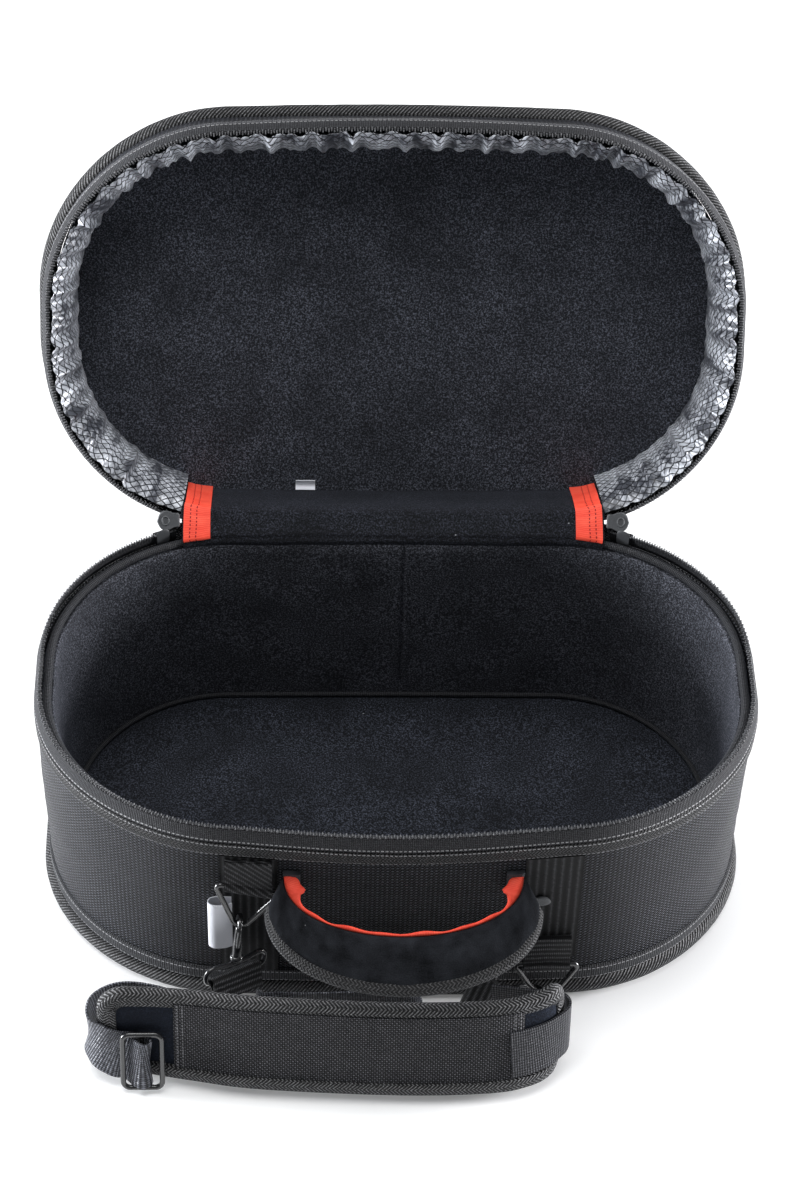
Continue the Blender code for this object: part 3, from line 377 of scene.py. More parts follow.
class Look:
    """One procedural material on the record's slot; each helper returns the socket that it made."""

    def __init__(self, slot, name, rough, sheen=0.0, metal=0.0, tint=(0.5, 0.55, 0.65), space="weave",
                 shine=0.22):
        self.slot = slot
        self.mat = bpy.data.materials.new(name)
        self.mat.use_nodes = True
        self.tree = self.mat.node_tree
        self.shader = self.tree.nodes["Principled BSDF"]
        values = {"Roughness": rough, "Metallic": metal, "Sheen Weight": sheen, "Sheen Roughness": 0.45}
        values |= {"Specular IOR Level": shine, "Sheen Tint": (*tint, 1.0)}
        self.fill(self.shader, values)
        if space == "weave":
            self.place = self.node("UVMap", {}, uv_map="weave").outputs["UV"]
        else:
            metres = self.node("TexCoord").outputs["Object"]
            scaled = self.node("VectorMath", {0: metres, "Scale": 1 / MM}, operation="SCALE")
            self.place = scaled.outputs["Vector"]
        self.u, self.v, self.w = self.node("SeparateXYZ", {0: self.place}).outputs

    def fill(self, node, values):
        for name, value in values.items():
            if isinstance(value, bpy.types.NodeSocket):
                self.tree.links.new(value, node.inputs[name])
            else:
                node.inputs[name].default_value = value
        return node

    def node(self, kind, values={}, **settings):
        node = self.tree.nodes.new("ShaderNode" + kind)
        for name, value in settings.items():
            setattr(node, name, value)
        return self.fill(node, values)

    def math(self, op, *values):
        return self.node("Math", dict(enumerate(values)), operation=op).outputs[0]

    def add(self, a, b):
        return self.math("ADD", a, b)

    def times(self, a, b):
        return self.math("MULTIPLY", a, b)

    def sine(self, x, period):
        return self.math("SINE", self.times(x, 2 * pi / period))

    def wave(self, x, period):
        """Triangle wave from 0 to 1 along x."""
        return self.span(self.math("PINGPONG", x, period / 2), 0.0, period / 2)

    def span(self, x, a, b, low=0.0, high=1.0):
        """x between a and b, carried to low and high and held there."""
        values = {"Value": x, "From Min": a, "From Max": b, "To Min": low, "To Max": high}
        return self.node("MapRange", values, clamp=True).outputs[0]

    def mix(self, part, a, b):
        a, b = ((*x, 1.0) if isinstance(x, tuple) else x for x in (a, b))
        return self.node("Mix", {0: part, 6: a, 7: b}, data_type="RGBA").outputs[2]

    def speckle(self, scale, detail=2.0, stretch=(1.0, 1.0, 1.0), bite=0.6):
        """Noise 0 to 1; scale is its grain in mm."""
        scaled = {0: self.place, 1: tuple(x / scale for x in stretch)}
        place = self.node("VectorMath", scaled, operation="MULTIPLY").outputs[0]
        values = {"Vector": place, "Scale": 1.0, "Detail": detail, "Roughness": bite}
        return self.node("TexNoise", values).outputs[0]

    def flecks(self, size, share):
        """Sparse small dots, such as lint."""
        place = self.node("VectorMath", {0: self.place, "Scale": 1.0 / size}, operation="SCALE").outputs[0]
        cells = self.node("TexVoronoi", {"Vector": place, "Scale": 1.0})
        return self.math("LESS_THAN", cells.outputs["Distance"], share)

    def stitches(self, rows, pitch=3.0, dash=0.62, half=0.45, across=False):
        """Dashed thread along u at each v in rows, or the other way."""
        total = None
        a, b = (self.u, self.v) if across else (self.v, self.u)
        for at in rows:
            near = self.math("LESS_THAN", self.math("ABSOLUTE", self.math("SUBTRACT", a, at)), half)
            on = self.math("LESS_THAN", self.math("FRACT", self.math("DIVIDE", b, pitch)), dash)
            one = self.times(near, on)
            total = self.math("MAXIMUM", total, one) if total else one
        return total

    def sewn(self, rows, colour, height):
        """Colour and height with rows of pale thread laid over them."""
        if not rows:
            return colour, height
        thread = self.stitches(rows)
        return self.mix(thread, colour, (0.34, 0.34, 0.35)), self.add(height, thread)

    def finish(self, colour, height, depth):
        """Sets colour, and bump from a height socket; depth is in mm."""
        bump = self.node("Bump", {"Strength": 1.0, "Distance": depth * MM, "Height": height})
        self.fill(self.shader, {"Base Color": colour, "Normal": bump.outputs[0]})
        return self


def ballistic(name, space="weave"):
    """Coarse basket weave, with a grey-blue shine where the light grazes it."""
    c = Look("nylon_ballistic", name, 0.42, 0.03, tint=(0.55, 0.58, 0.70), space=space, shine=0.15)
    a, b = (c.u, c.v) if space == "weave" else (c.add(c.u, c.times(c.v, 0.8)), c.w)
    weft = c.sine(b, 2.9)
    knit = c.add(c.times(c.sine(a, 3.2), weft), c.times(weft, 0.5))
    tone = c.add(c.span(knit, -0.6, 1.3), c.times(c.speckle(5.0), 0.30))
    colour = c.mix(c.span(tone, 0.52, 1.15), (0.0030, 0.0031, 0.0040), (0.128, 0.133, 0.158))
    return c.finish(colour, knit, 0.8)


def fleece(name, base, tip, slot="fleece_black"):
    """Brushed knit with a faint blue cast and sparse lint."""
    c = Look(slot, name, 0.95, 0.06, tint=(0.42, 0.50, 0.70), space="object")
    grain = c.speckle(1.2, bite=0.85)
    colour = c.mix(c.span(grain, 0.48, 0.68), base, tip)
    colour = c.mix(c.span(c.speckle(45.0), 0.35, 0.7, 0.0, 0.5), colour, tuple(x * 0.6 for x in base))
    colour = c.mix(c.flecks(26.0, 0.022), colour, (0.22, 0.23, 0.25))
    return c.finish(colour, grain, 0.5)


def herringbone(name, column, pitch, light, dark, rows=(), slot="binding_herringbone"):
    """Binding tape whose diagonal strokes turn at each column, with rows of pale thread."""
    c = Look(slot, name, 0.60, 0.04)
    stroke = c.wave(c.add(c.u, c.times(c.math("PINGPONG", c.v, column), 0.9)), pitch)
    tone = c.times(c.span(stroke, 0.45, 0.80), c.span(c.speckle(1.3, bite=0.8), 0.36, 0.62))
    colour = c.mix(tone, (dark, dark, dark * 1.12), (light, light, light * 1.03))
    return c.finish(*c.sewn(rows, colour, stroke), 0.6)


def ribbed(name, slot, along, pitch, light, dark, rough=0.7, sheen=0.04, rows=(), cross=1.3, speck=2.2,
           low=0.25, high=0.85, worn=(0.3, 0.7, 0.35, 1.2)):
    """Webbing or tape with ribs; along says which way the ribs run."""
    c = Look(slot, name, rough, sheen)
    main, other = (c.v, c.u) if along == "u" else (c.u, c.v)
    tone = c.add(c.times(c.wave(main, pitch), 0.6), c.times(c.wave(other, cross), 0.4))
    tone = c.times(c.span(tone, low, high), c.span(c.speckle(speck), *worn))
    return c.finish(*c.sewn(rows, c.mix(tone, dark, light), tone), 0.6)


def ripstop():
    """Satin silver cloth with a slanting grid of dark threads; its light-to-dark noise is painted highlight
    and painted shade of the folds.
    """
    c = Look("ripstop_silver", "ripstop", 0.36, metal=0.20, shine=0.5)
    lines = []
    for sign in (1.0, -1.0):
        slant = c.times(c.add(c.u, c.times(c.v, sign * 1.12)), 0.7071)
        lines.append(c.math("LESS_THAN", c.math("PINGPONG", slant, 2.7), 0.48))
    thread = c.math("MAXIMUM", *lines)
    # Broad and fine noise laid into the colour as painted highlights and painted shade on the satin folds;
    # the broad one also drives the bump.
    sheen_and_relief = c.speckle(16.0, 2.0, (1.0, 0.35, 1.0))
    tone = c.add(c.times(c.speckle(3.0, 1.0, (1.0, 0.5, 1.0)), 0.35), c.times(sheen_and_relief, 0.65))
    colour = c.mix(c.span(tone, 0.40, 0.62), (0.070, 0.075, 0.090), (0.70, 0.73, 0.79))
    colour = c.mix(thread, colour, (0.012, 0.013, 0.017))
    return c.finish(colour, c.add(c.times(sheen_and_relief, 3.0), thread), 0.4)


def suede():
    """Brushed velvet with sparse lint."""
    c = Look("suede_black", "suede", 0.95, 0.03, tint=(0.45, 0.50, 0.62), shine=0.1)
    nap = c.speckle(0.9, 3.0, bite=0.7)
    tone = c.add(c.times(nap, 0.5), c.times(c.speckle(16.0), 0.6))
    colour = c.mix(c.span(tone, 0.40, 0.75), (0.0020, 0.0023, 0.0030), (0.022, 0.024, 0.029))
    colour = c.mix(c.flecks(24.0, 0.025), colour, (0.16, 0.16, 0.17))
    return c.finish(colour, nap, 0.3)


def red_tape(name, rows=()):
    """Red ribbed tape, with rows of dark red stitches."""
    c = Look("tape_red", name, 0.55, 0.05, tint=(1.0, 0.5, 0.4))
    tone = c.add(c.times(c.wave(c.u, 1.5), 0.25), c.times(c.speckle(7.0, 2.0, (1.0, 0.35, 1.0)), 0.75))
    colour = c.mix(c.span(tone, 0.25, 0.75), (0.78, 0.048, 0.026), (0.96, 0.115, 0.066))
    height = tone
    if rows:
        thread = c.stitches(rows, 2.6, 0.55, 0.4)
        colour = c.mix(thread, colour, (0.28, 0.006, 0.008))
        height = c.math("SUBTRACT", tone, thread)
    return c.finish(colour, height, 0.4)


def twill(name, ends):
    """Basket weave laid on the slant, stitched down across both ends."""
    c = Look("twill_dark", name, 0.55, 0.04)
    slant = c.sine(c.add(c.u, c.v), 3.1)
    knit = c.add(c.times(slant, c.sine(c.math("SUBTRACT", c.u, c.v), 3.1)), c.times(slant, 0.45))
    tone = c.times(c.span(knit, 0.05, 1.25), c.span(c.speckle(6.0), 0.3, 0.7, 0.6, 1.2))
    colour = c.mix(tone, (0.0024, 0.0024, 0.0034), (0.235, 0.233, 0.258))
    colour = c.mix(c.stitches(ends, 2.6, 0.6, 0.5, True), colour, (0.20, 0.20, 0.21))
    return c.finish(colour, knit, 0.7)


def gloss_black():
    c = Look("metal_black", "black_metal", 0.24, space="object", shine=0.5)
    c.fill(c.shader, {"Coat Weight": 0.7, "Coat Roughness": 0.12})
    colour = c.mix(c.span(c.speckle(3.0, 3.0), 0.62, 0.74), (0.014, 0.0145, 0.016), (0.045, 0.046, 0.05))
    return c.finish(colour, c.speckle(1.2), 0.05)


def rubber():
    c = Look("rubber_grey", "tab_rubber", 0.55, space="object", shine=0.5)
    grain = c.speckle(0.7)
    return c.finish(c.mix(grain, (0.050, 0.053, 0.058), (0.095, 0.099, 0.106)), grain, 0.08)


def label():
    c = Look("label_white", "white_label", 0.45, 0.1)
    weave = c.wave(c.add(c.u, c.v), 0.8)
    return c.finish(c.mix(c.times(weave, 0.5), (0.72, 0.73, 0.78), (0.60, 0.61, 0.67)), weave, 0.1)


def coil():
    c = Look("zip_teeth", "zip_coil", 0.30, space="object", shine=0.5)
    tone = c.speckle(1.5, 1.0)
    colour = c.mix(c.span(tone, 0.35, 0.65), (0.040, 0.041, 0.045), (0.110, 0.112, 0.120))
    return c.finish(colour, tone, 0.1)


# Looks shared by the pieces.

SKIN = ballistic("skin_ballistic")
SKIN_FLAT = ballistic("skin_ballistic_flat", "object")
FLEECE = fleece("fleece_lid", (0.0125, 0.0135, 0.0170), (0.150, 0.162, 0.204))
# A lighter copy of the lid's fleece: painted light on the tub's inner walls.
TUB_FLEECE_LIT = fleece("fleece_tub_lit", (0.0185, 0.0195, 0.0235), (0.225, 0.235, 0.280))
# A darker copy of the fleece: painted shade in the hinge strip between tub and lid.
STRIP_FLEECE_SHADED = fleece("fleece_strip_shaded", (0.0028, 0.0032, 0.0044), (0.044, 0.048, 0.066))
FLOOR = fleece("fleece_floor_look", (0.0054, 0.0062, 0.0082), (0.078, 0.088, 0.118), "fleece_floor")
NEOPRENE = fleece("strap_core", (0.006, 0.008, 0.014), (0.020, 0.028, 0.048), "neoprene_black")
RIM = herringbone("herringbone_rim", 3.1, 2.4, 0.105, 0.003, (1.6, 11.3))
PIPE = herringbone("herringbone_piping", 60.0, 2.7, 0.20, 0.004)
EDGE = herringbone("herringbone_strap", 4.4, 2.7, 0.27, 0.003)
TRIM = herringbone("handle_trim", 2.1, 2.3, 0.090, 0.005, slot="binding_plain")
FINE = ribbed("fine_binding", "binding_fine", "v", 1.4, (0.075, 0.077, 0.085), (0.006, 0.006, 0.007),
              0.5, 0.1)
BASE_TAPE = ribbed("base_tape", "tape_plain", "v", 1.6, (0.085, 0.087, 0.094), (0.004, 0.004, 0.005),
                   rows=(1.7, 10.6))
LID_TAPE = ribbed("lid_tape", "tape_plain", "v", 1.6, (0.095, 0.098, 0.112), (0.006, 0.006, 0.008),
                  0.45, 0.03, (1.3, 11.2))
ZIP = ribbed("zip_weave", "zip_tape", "v", 1.2, (0.070, 0.071, 0.078), (0.006, 0.006, 0.007), rows=(2.2,))
WEB = ribbed("webbing", "webbing_ribbed", "u", 5.4, (0.085, 0.086, 0.092), (0.0022, 0.0022, 0.0026),
             0.7, 0.02, low=0.52, high=0.92)
WEB_CROSS = ribbed("webbing_cross", "webbing_ribbed", "u", 4.4, (0.12, 0.122, 0.13), (0.0025, 0.0025, 0.003),
                   0.6, 0.03, low=0.50, high=0.92)
BELT = ribbed("belt_satin", "webbing_belt", "v", 1.7, (0.270, 0.280, 0.320), (0.006, 0.0065, 0.010),
              0.30, 0.03, cross=1.6, speck=2.4, low=0.30, high=0.90, worn=(0.36, 0.64, 0.35, 1.3))
# The satin webbing again with its light threads darkened: painted shade on the belt that runs to the right.
BELT_SHADED = ribbed("belt_satin_shaded", "webbing_belt", "v", 1.7, (0.115, 0.118, 0.132), (0.003, 0.003, 0.005),
                  0.4, 0.03, cross=2.2, speck=2.0, low=0.35, high=0.90)
SMOOTH = ribbed("smooth_binding", "binding_plain", "v", 1.2, (0.065, 0.067, 0.075), (0.022, 0.023, 0.027),
                0.42, 0.1)
COIL = coil()
RIPSTOP = ripstop()
SUEDE = suede()
RED = red_tape("red_tape", (12.0, 16.4, 24.4, 28.8))
RED_PLAIN = red_tape("red_lining")
METAL = gloss_black()
RUBBER = rubber()
LABEL = label()


# Tub: outer skin, fleece lining, floor and bound edges.

FOAM_LOW = 5.35
FOAM_OUT = wall_offset(LOW) - WALL - FOAM_GAP
FLOOR_EDGE = FOAM_OUT - FOAM - 0.55


def build_wall():
    outer = line((wall_offset(LOW), LOW), (WALL_TOP_OFFSET, WALL_TOP), 26)
    inner = line((WALL_TOP_OFFSET - WALL, WALL_TOP), (wall_offset(LOW) - WALL, LOW), 3)

    def puff(s, j):
        if j > 26:
            return 0.0, 0.0
        held = max(0.0, sin(pi * j / 26)) ** 0.6
        soft = 1.3 * rough(s, j * 4.8, size=75.0, seed=1.0)
        fine = 0.35 * rough(s * 0.6, j * 6.0, size=17.0, seed=5.0)
        return held * (0.5 + soft + fine), 0.0

    wall = band("wall_skin", outer + inner, SKIN, wobble=puff)
    settle(wall, "tub", "tub_wall")


def build_tub_lining():
    out = WALL_TOP_OFFSET - WALL - FOAM_GAP
    top = WALL_TOP - 2.5
    profile = line((out - FOAM, top), (FOAM_OUT - FOAM, FOAM_LOW + 9.0), 24)
    profile += [(FOAM_OUT - FOAM, FOAM_LOW), (FOAM_OUT, FOAM_LOW + 8.0), (out, top)]
    profile += [(out - 1.0, top + 2.2), (out - FOAM + 1.0, top + 2.2)]

    def nap(s, j):
        """Soft swell, and one raised seam near the middle of the back."""
        if j > 24:
            return 0.0, 0.0
        held = sin(pi * min(1.0, (j + 0.5) / 25)) ** 0.5
        near = (s + LENGTH / 2 - 8.0) % LENGTH - LENGTH / 2
        seam = 2.3 * exp(-((near / 1.6) ** 2)) - exp(-((near / 6.5) ** 2))
        return held * (0.9 * rough(s, j * 6.0, size=62.0, seed=9.0) + seam), 0.0

    stations = spread(0.0, 20.0, 1.0)[:-1] + spread(20.0, LENGTH - 6.0, 4.0)[:-1]
    stations += spread(LENGTH - 6.0, LENGTH, 1.0)
    lining = band("tub_fleece", profile, TUB_FLEECE_LIT, stations, wobble=nap)
    settle(lining, "tub", "tub_foam")


def build_floor():
    levels = [(FLOOR_EDGE, FOAM_LOW), (FLOOR_EDGE, FLOOR_TOP - 2.0), (FLOOR_EDGE - 1.0, FLOOR_TOP - 0.7)]
    levels += [(FLOOR_EDGE - 3.0, FLOOR_TOP)] + dome(FLOOR_EDGE - 3.0, FLOOR_TOP, 9.5, 1.6)

    def dent(p):
        """Unevenness, and one groove across the right end."""
        groove = exp(-(((p.x - 176.0 + p.y * 0.05) / 2.2) ** 2))
        return 0.5 * rough(p.x, p.y, size=48.0, seed=3.0) - 1.5 * groove

    floor = cap("floor_fleece", levels, FLOOR, 3, dent)
    settle(floor, "tub", "floor_pad")
    cord = band("floor_edge", bead(FLOOR_EDGE - 2.0, FLOOR_TOP + 2.2, 1.8, 10), FINE)
    settle(cord, "tub", "floor_piping")


def build_edges():
    def lumps(s, j):
        return 0.18 * rough(s, j * 2.0, size=9.0, seed=4.0), 0.0

    cord = bead(wall_offset(PIPING_TOP) - 0.4, 6.5, 6.5, 20, 0.97)
    cord = [(max(o, FOAM_OUT - 1.25), z) for o, z in cord]
    settle(band("base_edge", cord, PIPE, wobble=lumps), "tub", "base_piping")

    low, top = PIPING_TOP + 1.2, BASE_BAND_TOP
    face = [(wall_offset(low) + GAP + 0.3, low), (wall_offset(low) + GAP + 1.5, low + 0.4)]
    face += [(wall_offset(low + h) + GAP + 1.75, low + h) for h in (2.2, 4.2, 6.2, 8.2, 10.2)]
    face += [(wall_offset(top) + GAP + 1.3, top - 0.5), (wall_offset(top) + GAP, top)]
    settle(band("base_tape_band", face, BASE_TAPE), "tub", "base_band")

    low, top = WALL_TOP - RIM_BAND, WALL_TOP
    face = [(wall_offset(low) + GAP, low), (wall_offset(low) + GAP + 1.3, low + 0.4)]
    face += [(wall_offset(low + h) + GAP + 1.8, low + h) for h in (2.0, 4.2, 6.4, 8.6, 10.6)]
    face += [(WALL_TOP_OFFSET + GAP + 1.5, top - 0.5), (WALL_TOP_OFFSET + GAP, top)]
    settle(band("rim_binding", face, RIM, wobble=lumps), "tub", "rim_band")


# Zip: woven tapes and coil teeth on the tub's rim and on the lid, sliders and their rubber tabs.


def teeth(name, point, height):
    """Coil loops across the zip, set alternately in and out."""
    verts = []
    faces = []
    maps = []
    for k, s in enumerate(spread(ZIP_END + 1.0, LENGTH - ZIP_END - 1.0, TOOTH_PITCH)):
        base = len(verts)
        inward = 0.4 if k % 2 else -0.2
        for o, size in ((-1.35, 0.55), (-0.95, 1.0), (0.95, 1.0), (1.35, 0.55)):
            for x, z in circle(size, 6, 0.5):
                verts.append(tuple(point(s + 0.58 * x, o + inward, height + 0.95 * z) * MM))
        for a in range(base, base + 18, 6):
            for i in range(6):
                j = (i + 1) % 6
                faces.append((a + i, a + j, a + 6 + j, a + 6 + i))
        faces += [tuple(range(base + 5, base - 1, -1)), tuple(range(base + 18, base + 24))]
        maps += [((s, 0.0), (s, 1.0), (s + 1.0, 1.0), (s + 1.0, 0.0))] * 18
        maps += [tuple((s, float(i)) for i in range(6))] * 2
    return mesh_piece(name, verts, faces, maps, COIL, 80.0)


def build_zips():
    low = WALL_TOP + GAP
    longer = spread(ZIP_END - 15.0, LENGTH - ZIP_END + 15.0, 4.0)
    face = [(4.0, 0.0), (4.5, 0.8), (3.9, 3.4), (3.1, 6.2), (2.1, 8.6), (1.5, TAPE)]
    face += [(0.1, TAPE), (0.8, 7.0), (2.2, 3.0), (3.0, 0.0)]
    settle(band("rim_tape", [(o, low + z) for o, z in face], ZIP, longer), "tub", "rim_zip_tape")
    settle(teeth("rim_coil", plan_point, (low + TAPE + ZIP_HEIGHT) / 2), "tub", "rim_zip_teeth")
    face = [(0.1, 2.8), (0.8, 6.0), (2.2, 10.2), (3.0, 13.3), (4.0, 13.3)]
    face += [(4.5, 12.4), (3.9, 9.8), (3.1, 7.0), (2.1, 4.6), (1.5, 2.8)]
    settle(band("lid_tape_zip", face, ZIP, longer, lid_point), "lid", "lid_zip_tape")
    settle(teeth("lid_coil", lid_point, 1.4), "lid", "lid_zip_teeth")
    settle(band("rim_cord", bead(-4.6, 169.05, 2.8, 14, 0.93), FINE), "tub", "rim_piping")
    for word, sign in SIDES:
        build_slider(word, sign)
        build_tab(word, sign)


def build_slider(word, sign):
    low = WALL_TOP + GAP + 1.2
    high = ZIP_HEIGHT + 2.4
    rows = []
    for k in range(-4, 5):
        tall = (high - low) / 2 * sqrt(max(0.12, 1 - (k / 4.4) ** 2)) ** 0.5
        spots = [(-0.35 + 0.95 * cos(a), (low + high) / 2 + tall * sin(a)) for a in turns(16)]
        rows.append([plan_point(sign * SLIDER_AT + k * 1.15, o, z) for o, z in spots])
    settle(grid("slider_body_" + word, rows, RUBBER), "tub", "zip_slider_" + word)


def build_tab(word, sign):
    """Rubber tab with a thick rim and a ring round its hole."""
    root = plan_point(sign * TAB_ROOT, 2.8, TAB_HEIGHT)
    way = (plan_point(sign * TAB_TIP, 6.6, TAB_HEIGHT) - root).normalized()
    face = way.cross(Vector((0.0, 0.62, 0.785))).normalized() * sign
    rise = face.cross(way).normalized() * sign
    rim = smooth_path([(0.2, 0), (0.6, 4.6), (4.2, 5.0), (7.4, 6.4), (10.6, 6.9), (14.2, 4.9), (16.4, 0)], 4)
    rim = [(p.x, -p.y) for p in rim[:-1]] + [(p.x, p.y) for p in reversed(rim[1:])]
    rows = []
    for grow, depth in ((0.80, -0.8), (0.90, -1.0), (1.0, -0.6), (1.0, 0.6), (0.93, 1.15), (0.80, 1.1)):
        rows.append([root + way * (8.6 + (u - 8.6) * grow) + rise * v * grow + face * depth for u, v in rim])
    settle(grid("tab_" + word, rows, RUBBER, sharp=50.0), "pull_tab_" + word, "pull_tab_" + word)
    middle = root + way * 10.2 + face * 1.15
    spots = [way * 2.3 * cos(a) + rise * 3.0 * sin(a) for a in turns(24)]
    frames = [(middle + p, p.normalized(), face) for p in spots]
    settle(tube("tab_%s_eye" % word, frames, circle(0.55, 8), RUBBER, True), "pull_tab_" + word)


# Lid: skin, bindings, outer panel, fleece and gathered ripstop lining.

LID_EDGE = 4.4 - 6.0 - GAP


def build_lid_wall():
    def puff(s, j):
        if j > 12:
            return 0.0, 0.0
        return sin(pi * j / 12) * (0.3 + 0.8 * rough(s, j * 4.0, size=50.0, seed=8.0)), 0.0

    skin = line((3.0, LID_LOW), (3.4, LID_TOP), 12) + [(1.4, LID_TOP), (1.0, LID_LOW)]
    wall = band("lid_skin", skin, SKIN, point=lid_point, wobble=puff)
    settle(wall, "lid", "lid_wall")
    face = [(3.35, 0.0), (4.5, 0.4), (4.8, 2.2), (4.9, 4.4), (4.9, 6.6), (4.9, 8.8)]
    face = [(o, LID_LOW + z) for o, z in face + [(4.85, 10.8), (4.3, 12.0), (3.5, 12.3)]]
    settle(band("lid_binding", face, LID_TAPE, point=lid_point), "lid", "lid_band")

    def lumps(s, j):
        return 0.2 * rough(s, j * 2.0, size=10.0, seed=12.0), 0.2 * rough(s, j * 2.0, size=8.0, seed=13.0)

    cord = bead(4.4, LID_DEPTH - 5.8, 6.0, 20, 0.97)
    settle(band("lid_edge", cord, PIPE, point=lid_point, wobble=lumps), "lid", "lid_piping")


def build_lid_panels():
    levels = [(LID_EDGE, 65.8), (LID_EDGE, LID_DEPTH - 1.5), (LID_EDGE - 2.0, LID_DEPTH - 0.4)]
    levels += dome(LID_EDGE - 2.0, LID_DEPTH - 0.4, 10.5, 2.6)

    def uneven(p):
        return 0.7 * rough(p.x, p.y, size=70.0, seed=11.0)

    cover = cap("lid_panel", levels, SKIN_FLAT, 2, uneven, True)
    settle(cover, "lid", "lid_top")

    low = LINING_DEPTH + GAP
    levels = [(LID_EDGE, 65.4)] + [(LID_EDGE - 8.0 * k, low) for k in range(3)]
    levels += dome(LID_EDGE - 16.0, low, 9.3, -1.4)

    def hollow(p):
        return 0.75 * rough(p.x, p.y, size=55.0, seed=15.0)

    back = cap("lid_fleece", levels, FLEECE, 4, hollow, True)
    settle(back, "lid", "lid_foam")


def gather(s, t):
    """Depth of the lining's folds at s, t from the zip to the fleece."""
    bent = s + 5.0 * rough(s, t * 9.0, size=34.0, seed=2.0) + 5.0 * t * rough(s, 0.0, size=52.0, seed=7.0)
    one = 1 - abs(sin(pi * bent / PUCKER)) ** 0.75
    two = 1 - abs(sin(pi * (bent * 1.63 + 6.0 * t) / PUCKER + 0.9)) ** 0.8
    loose = 0.5 + 0.5 * rough(s, 3.0, size=40.0, seed=6.0)
    return (0.62 * one + 0.38 * two - 0.32) * (0.75 + 0.6 * loose)


def build_ripstop():
    trace = [(-2.6, 3.2), (-5.6, 6.6), (-10.0, 12.5), (-15.0, 26.0), (-17.0, 42.0), (-16.8, 59.2)]
    spine = smooth_path(trace, 5)
    stations = spread(STRIP_END, LENGTH - STRIP_END, 1.7)
    rows = []
    for s in stations:
        near = min(s, LENGTH - s)
        fade = clamp((near - STRIP_END) / 42.0)
        uneven = 1.0 + 0.55 * rough(s, 0.0, size=26.0, seed=17.0)
        hem = clamp((TAB_REACH - near) / 26.0) * 5.0
        row = []
        for n, p in enumerate(spine):
            t = n / (len(spine) - 1)
            arch = 0.30 + 0.70 * max(0.0, sin(pi * min(1.0, 0.12 + t))) ** 0.8
            swell = 6.4 * uneven * arch * gather(s, t) * fade
            row.append(lid_point(s, p.x - swell, p.y + hem * (1 - t) ** 2 - swell * 0.35))
        rows.append(row)
    flat = [1.06 * x for x in lengths(spine)]
    lining = sheet_of("ripstop_lining", rows, stations, RIPSTOP, 0.5, 70.0, flat)
    settle(lining, "lid", "lid_lining")


# Hinge: foam strip, the fabric inside and outside the joint, and the red seam tapes.


def hinge_path(s, lift):
    """Points from the tub's inner rim up over the lid's strip, at rest, pushed out by lift."""
    tub = [(-7.6, 166.5), (-7.9, 169.5), (-6.2, 172.4), (-4.6, 175.0)]
    lid = [(-6.0, 3.2), (-8.9, 5.6), (-10.3, 12.0), (-10.9, 20.0), (-11.0, 31.0), (-10.9, 42.0)]
    points = [plan_point(s, o - lift * 0.8, z) for o, z in tub]
    points += [lid_point(s, o - lift, z) for o, z in lid + [(-10.2, 52.0), (-9.9, 58.2)]]
    return smooth_path(points, 4)


def build_inner_hinge():
    run = spread(0.7 - STRIP_END, STRIP_END - 0.7, 5.0)
    strip = [(0.5, 1.0), (0.5, 58.4), (-9.5, 58.4), (-10.5, 42.0), (-10.5, 20.0), (-8.5, 4.0), (-4.0, 1.0)]
    foam = band("hinge_foam", strip, STRIP_FLEECE_SHADED, run, lid_point, 60.0)
    settle(foam, "lid", "hinge_strip")
    rows = []
    for s in run:
        path = hinge_path(s, 0.3)
        rows.append([p - Y * (0.5 * rough(p.x, n * 5.0, size=30.0, seed=21.0)) for n, p in enumerate(path)])
    skin = sheet_of("hinge_fabric", rows, run, STRIP_FLEECE_SHADED, 0.6)
    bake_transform(skin)


def build_outer_hinge():
    """The cover, whose fold is sharp, and the two ends that close it on the tub."""
    tub = [(4.2, 166.75), (3.0, 169.0), (1.6, 171.0), (0.4, 172.3)]
    lid = [(2.4, 1.6), (2.9, 5.0), (2.9, 9.0), (2.7, 13.3)]
    run = spread(-COVER_END, COVER_END, 4.0)
    rows = []
    for s in run:
        points = [plan_point(s, o, z) for o, z in tub] + [lid_point(s, o, z) for o, z in lid]
        rows.append(smooth_path(points, 3))
    back = sheet_of("hinge_outer", rows, run, SKIN, 0.9)
    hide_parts("hinge_tape", "hinge_cover", "hinge_flap")
    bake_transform(back)

    def raised(s, j):
        near = clamp((158.0 - min(s, LENGTH - s)) / 4.0)
        return 0.0, near * (3.4 if j in (5, 6) else 1.7 if j in (4, 7) else 0.0)

    wing = [(6.0, 164.6), (5.9, 167.0), (5.5, 170.0), (4.8, 173.0), (4.3, 175.5), (4.1, 177.4)]
    wing += [(3.2, 177.4), (3.4, 175.4), (3.9, 172.8), (4.6, 169.9), (5.0, 167.0), (5.1, 164.6)]
    right = spread(WING_START, WING_STOP, 2.0)
    left = spread(LENGTH - WING_STOP, LENGTH - WING_START, 2.0)
    settle(band("hinge_end_right", wing, SKIN, right, wobble=raised), "tub")
    settle(band("hinge_end_left", wing, SKIN, left, wobble=raised), "tub")


def build_red_tape(word, sign):
    rows = []
    for k in range(17):
        path = hinge_path(sign * (RED_START + 1.25 * k), 1.25)[8:]
        edge = 0.25 * cos(2 * pi * k / 16)
        lifts = [0.8 * rough(p.x, n * 3.0, size=11.0, seed=31.0) + edge for n, p in enumerate(path)]
        rows.append([p + Y * lift for p, lift in zip(path, lifts)])
    rows = columns(rows)
    tape = sheet_of("red_tape_" + word, rows, lengths([row[8] for row in rows]), RED, -0.8 * sign)
    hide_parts("hinge_binding_" + word)
    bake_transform(tape)


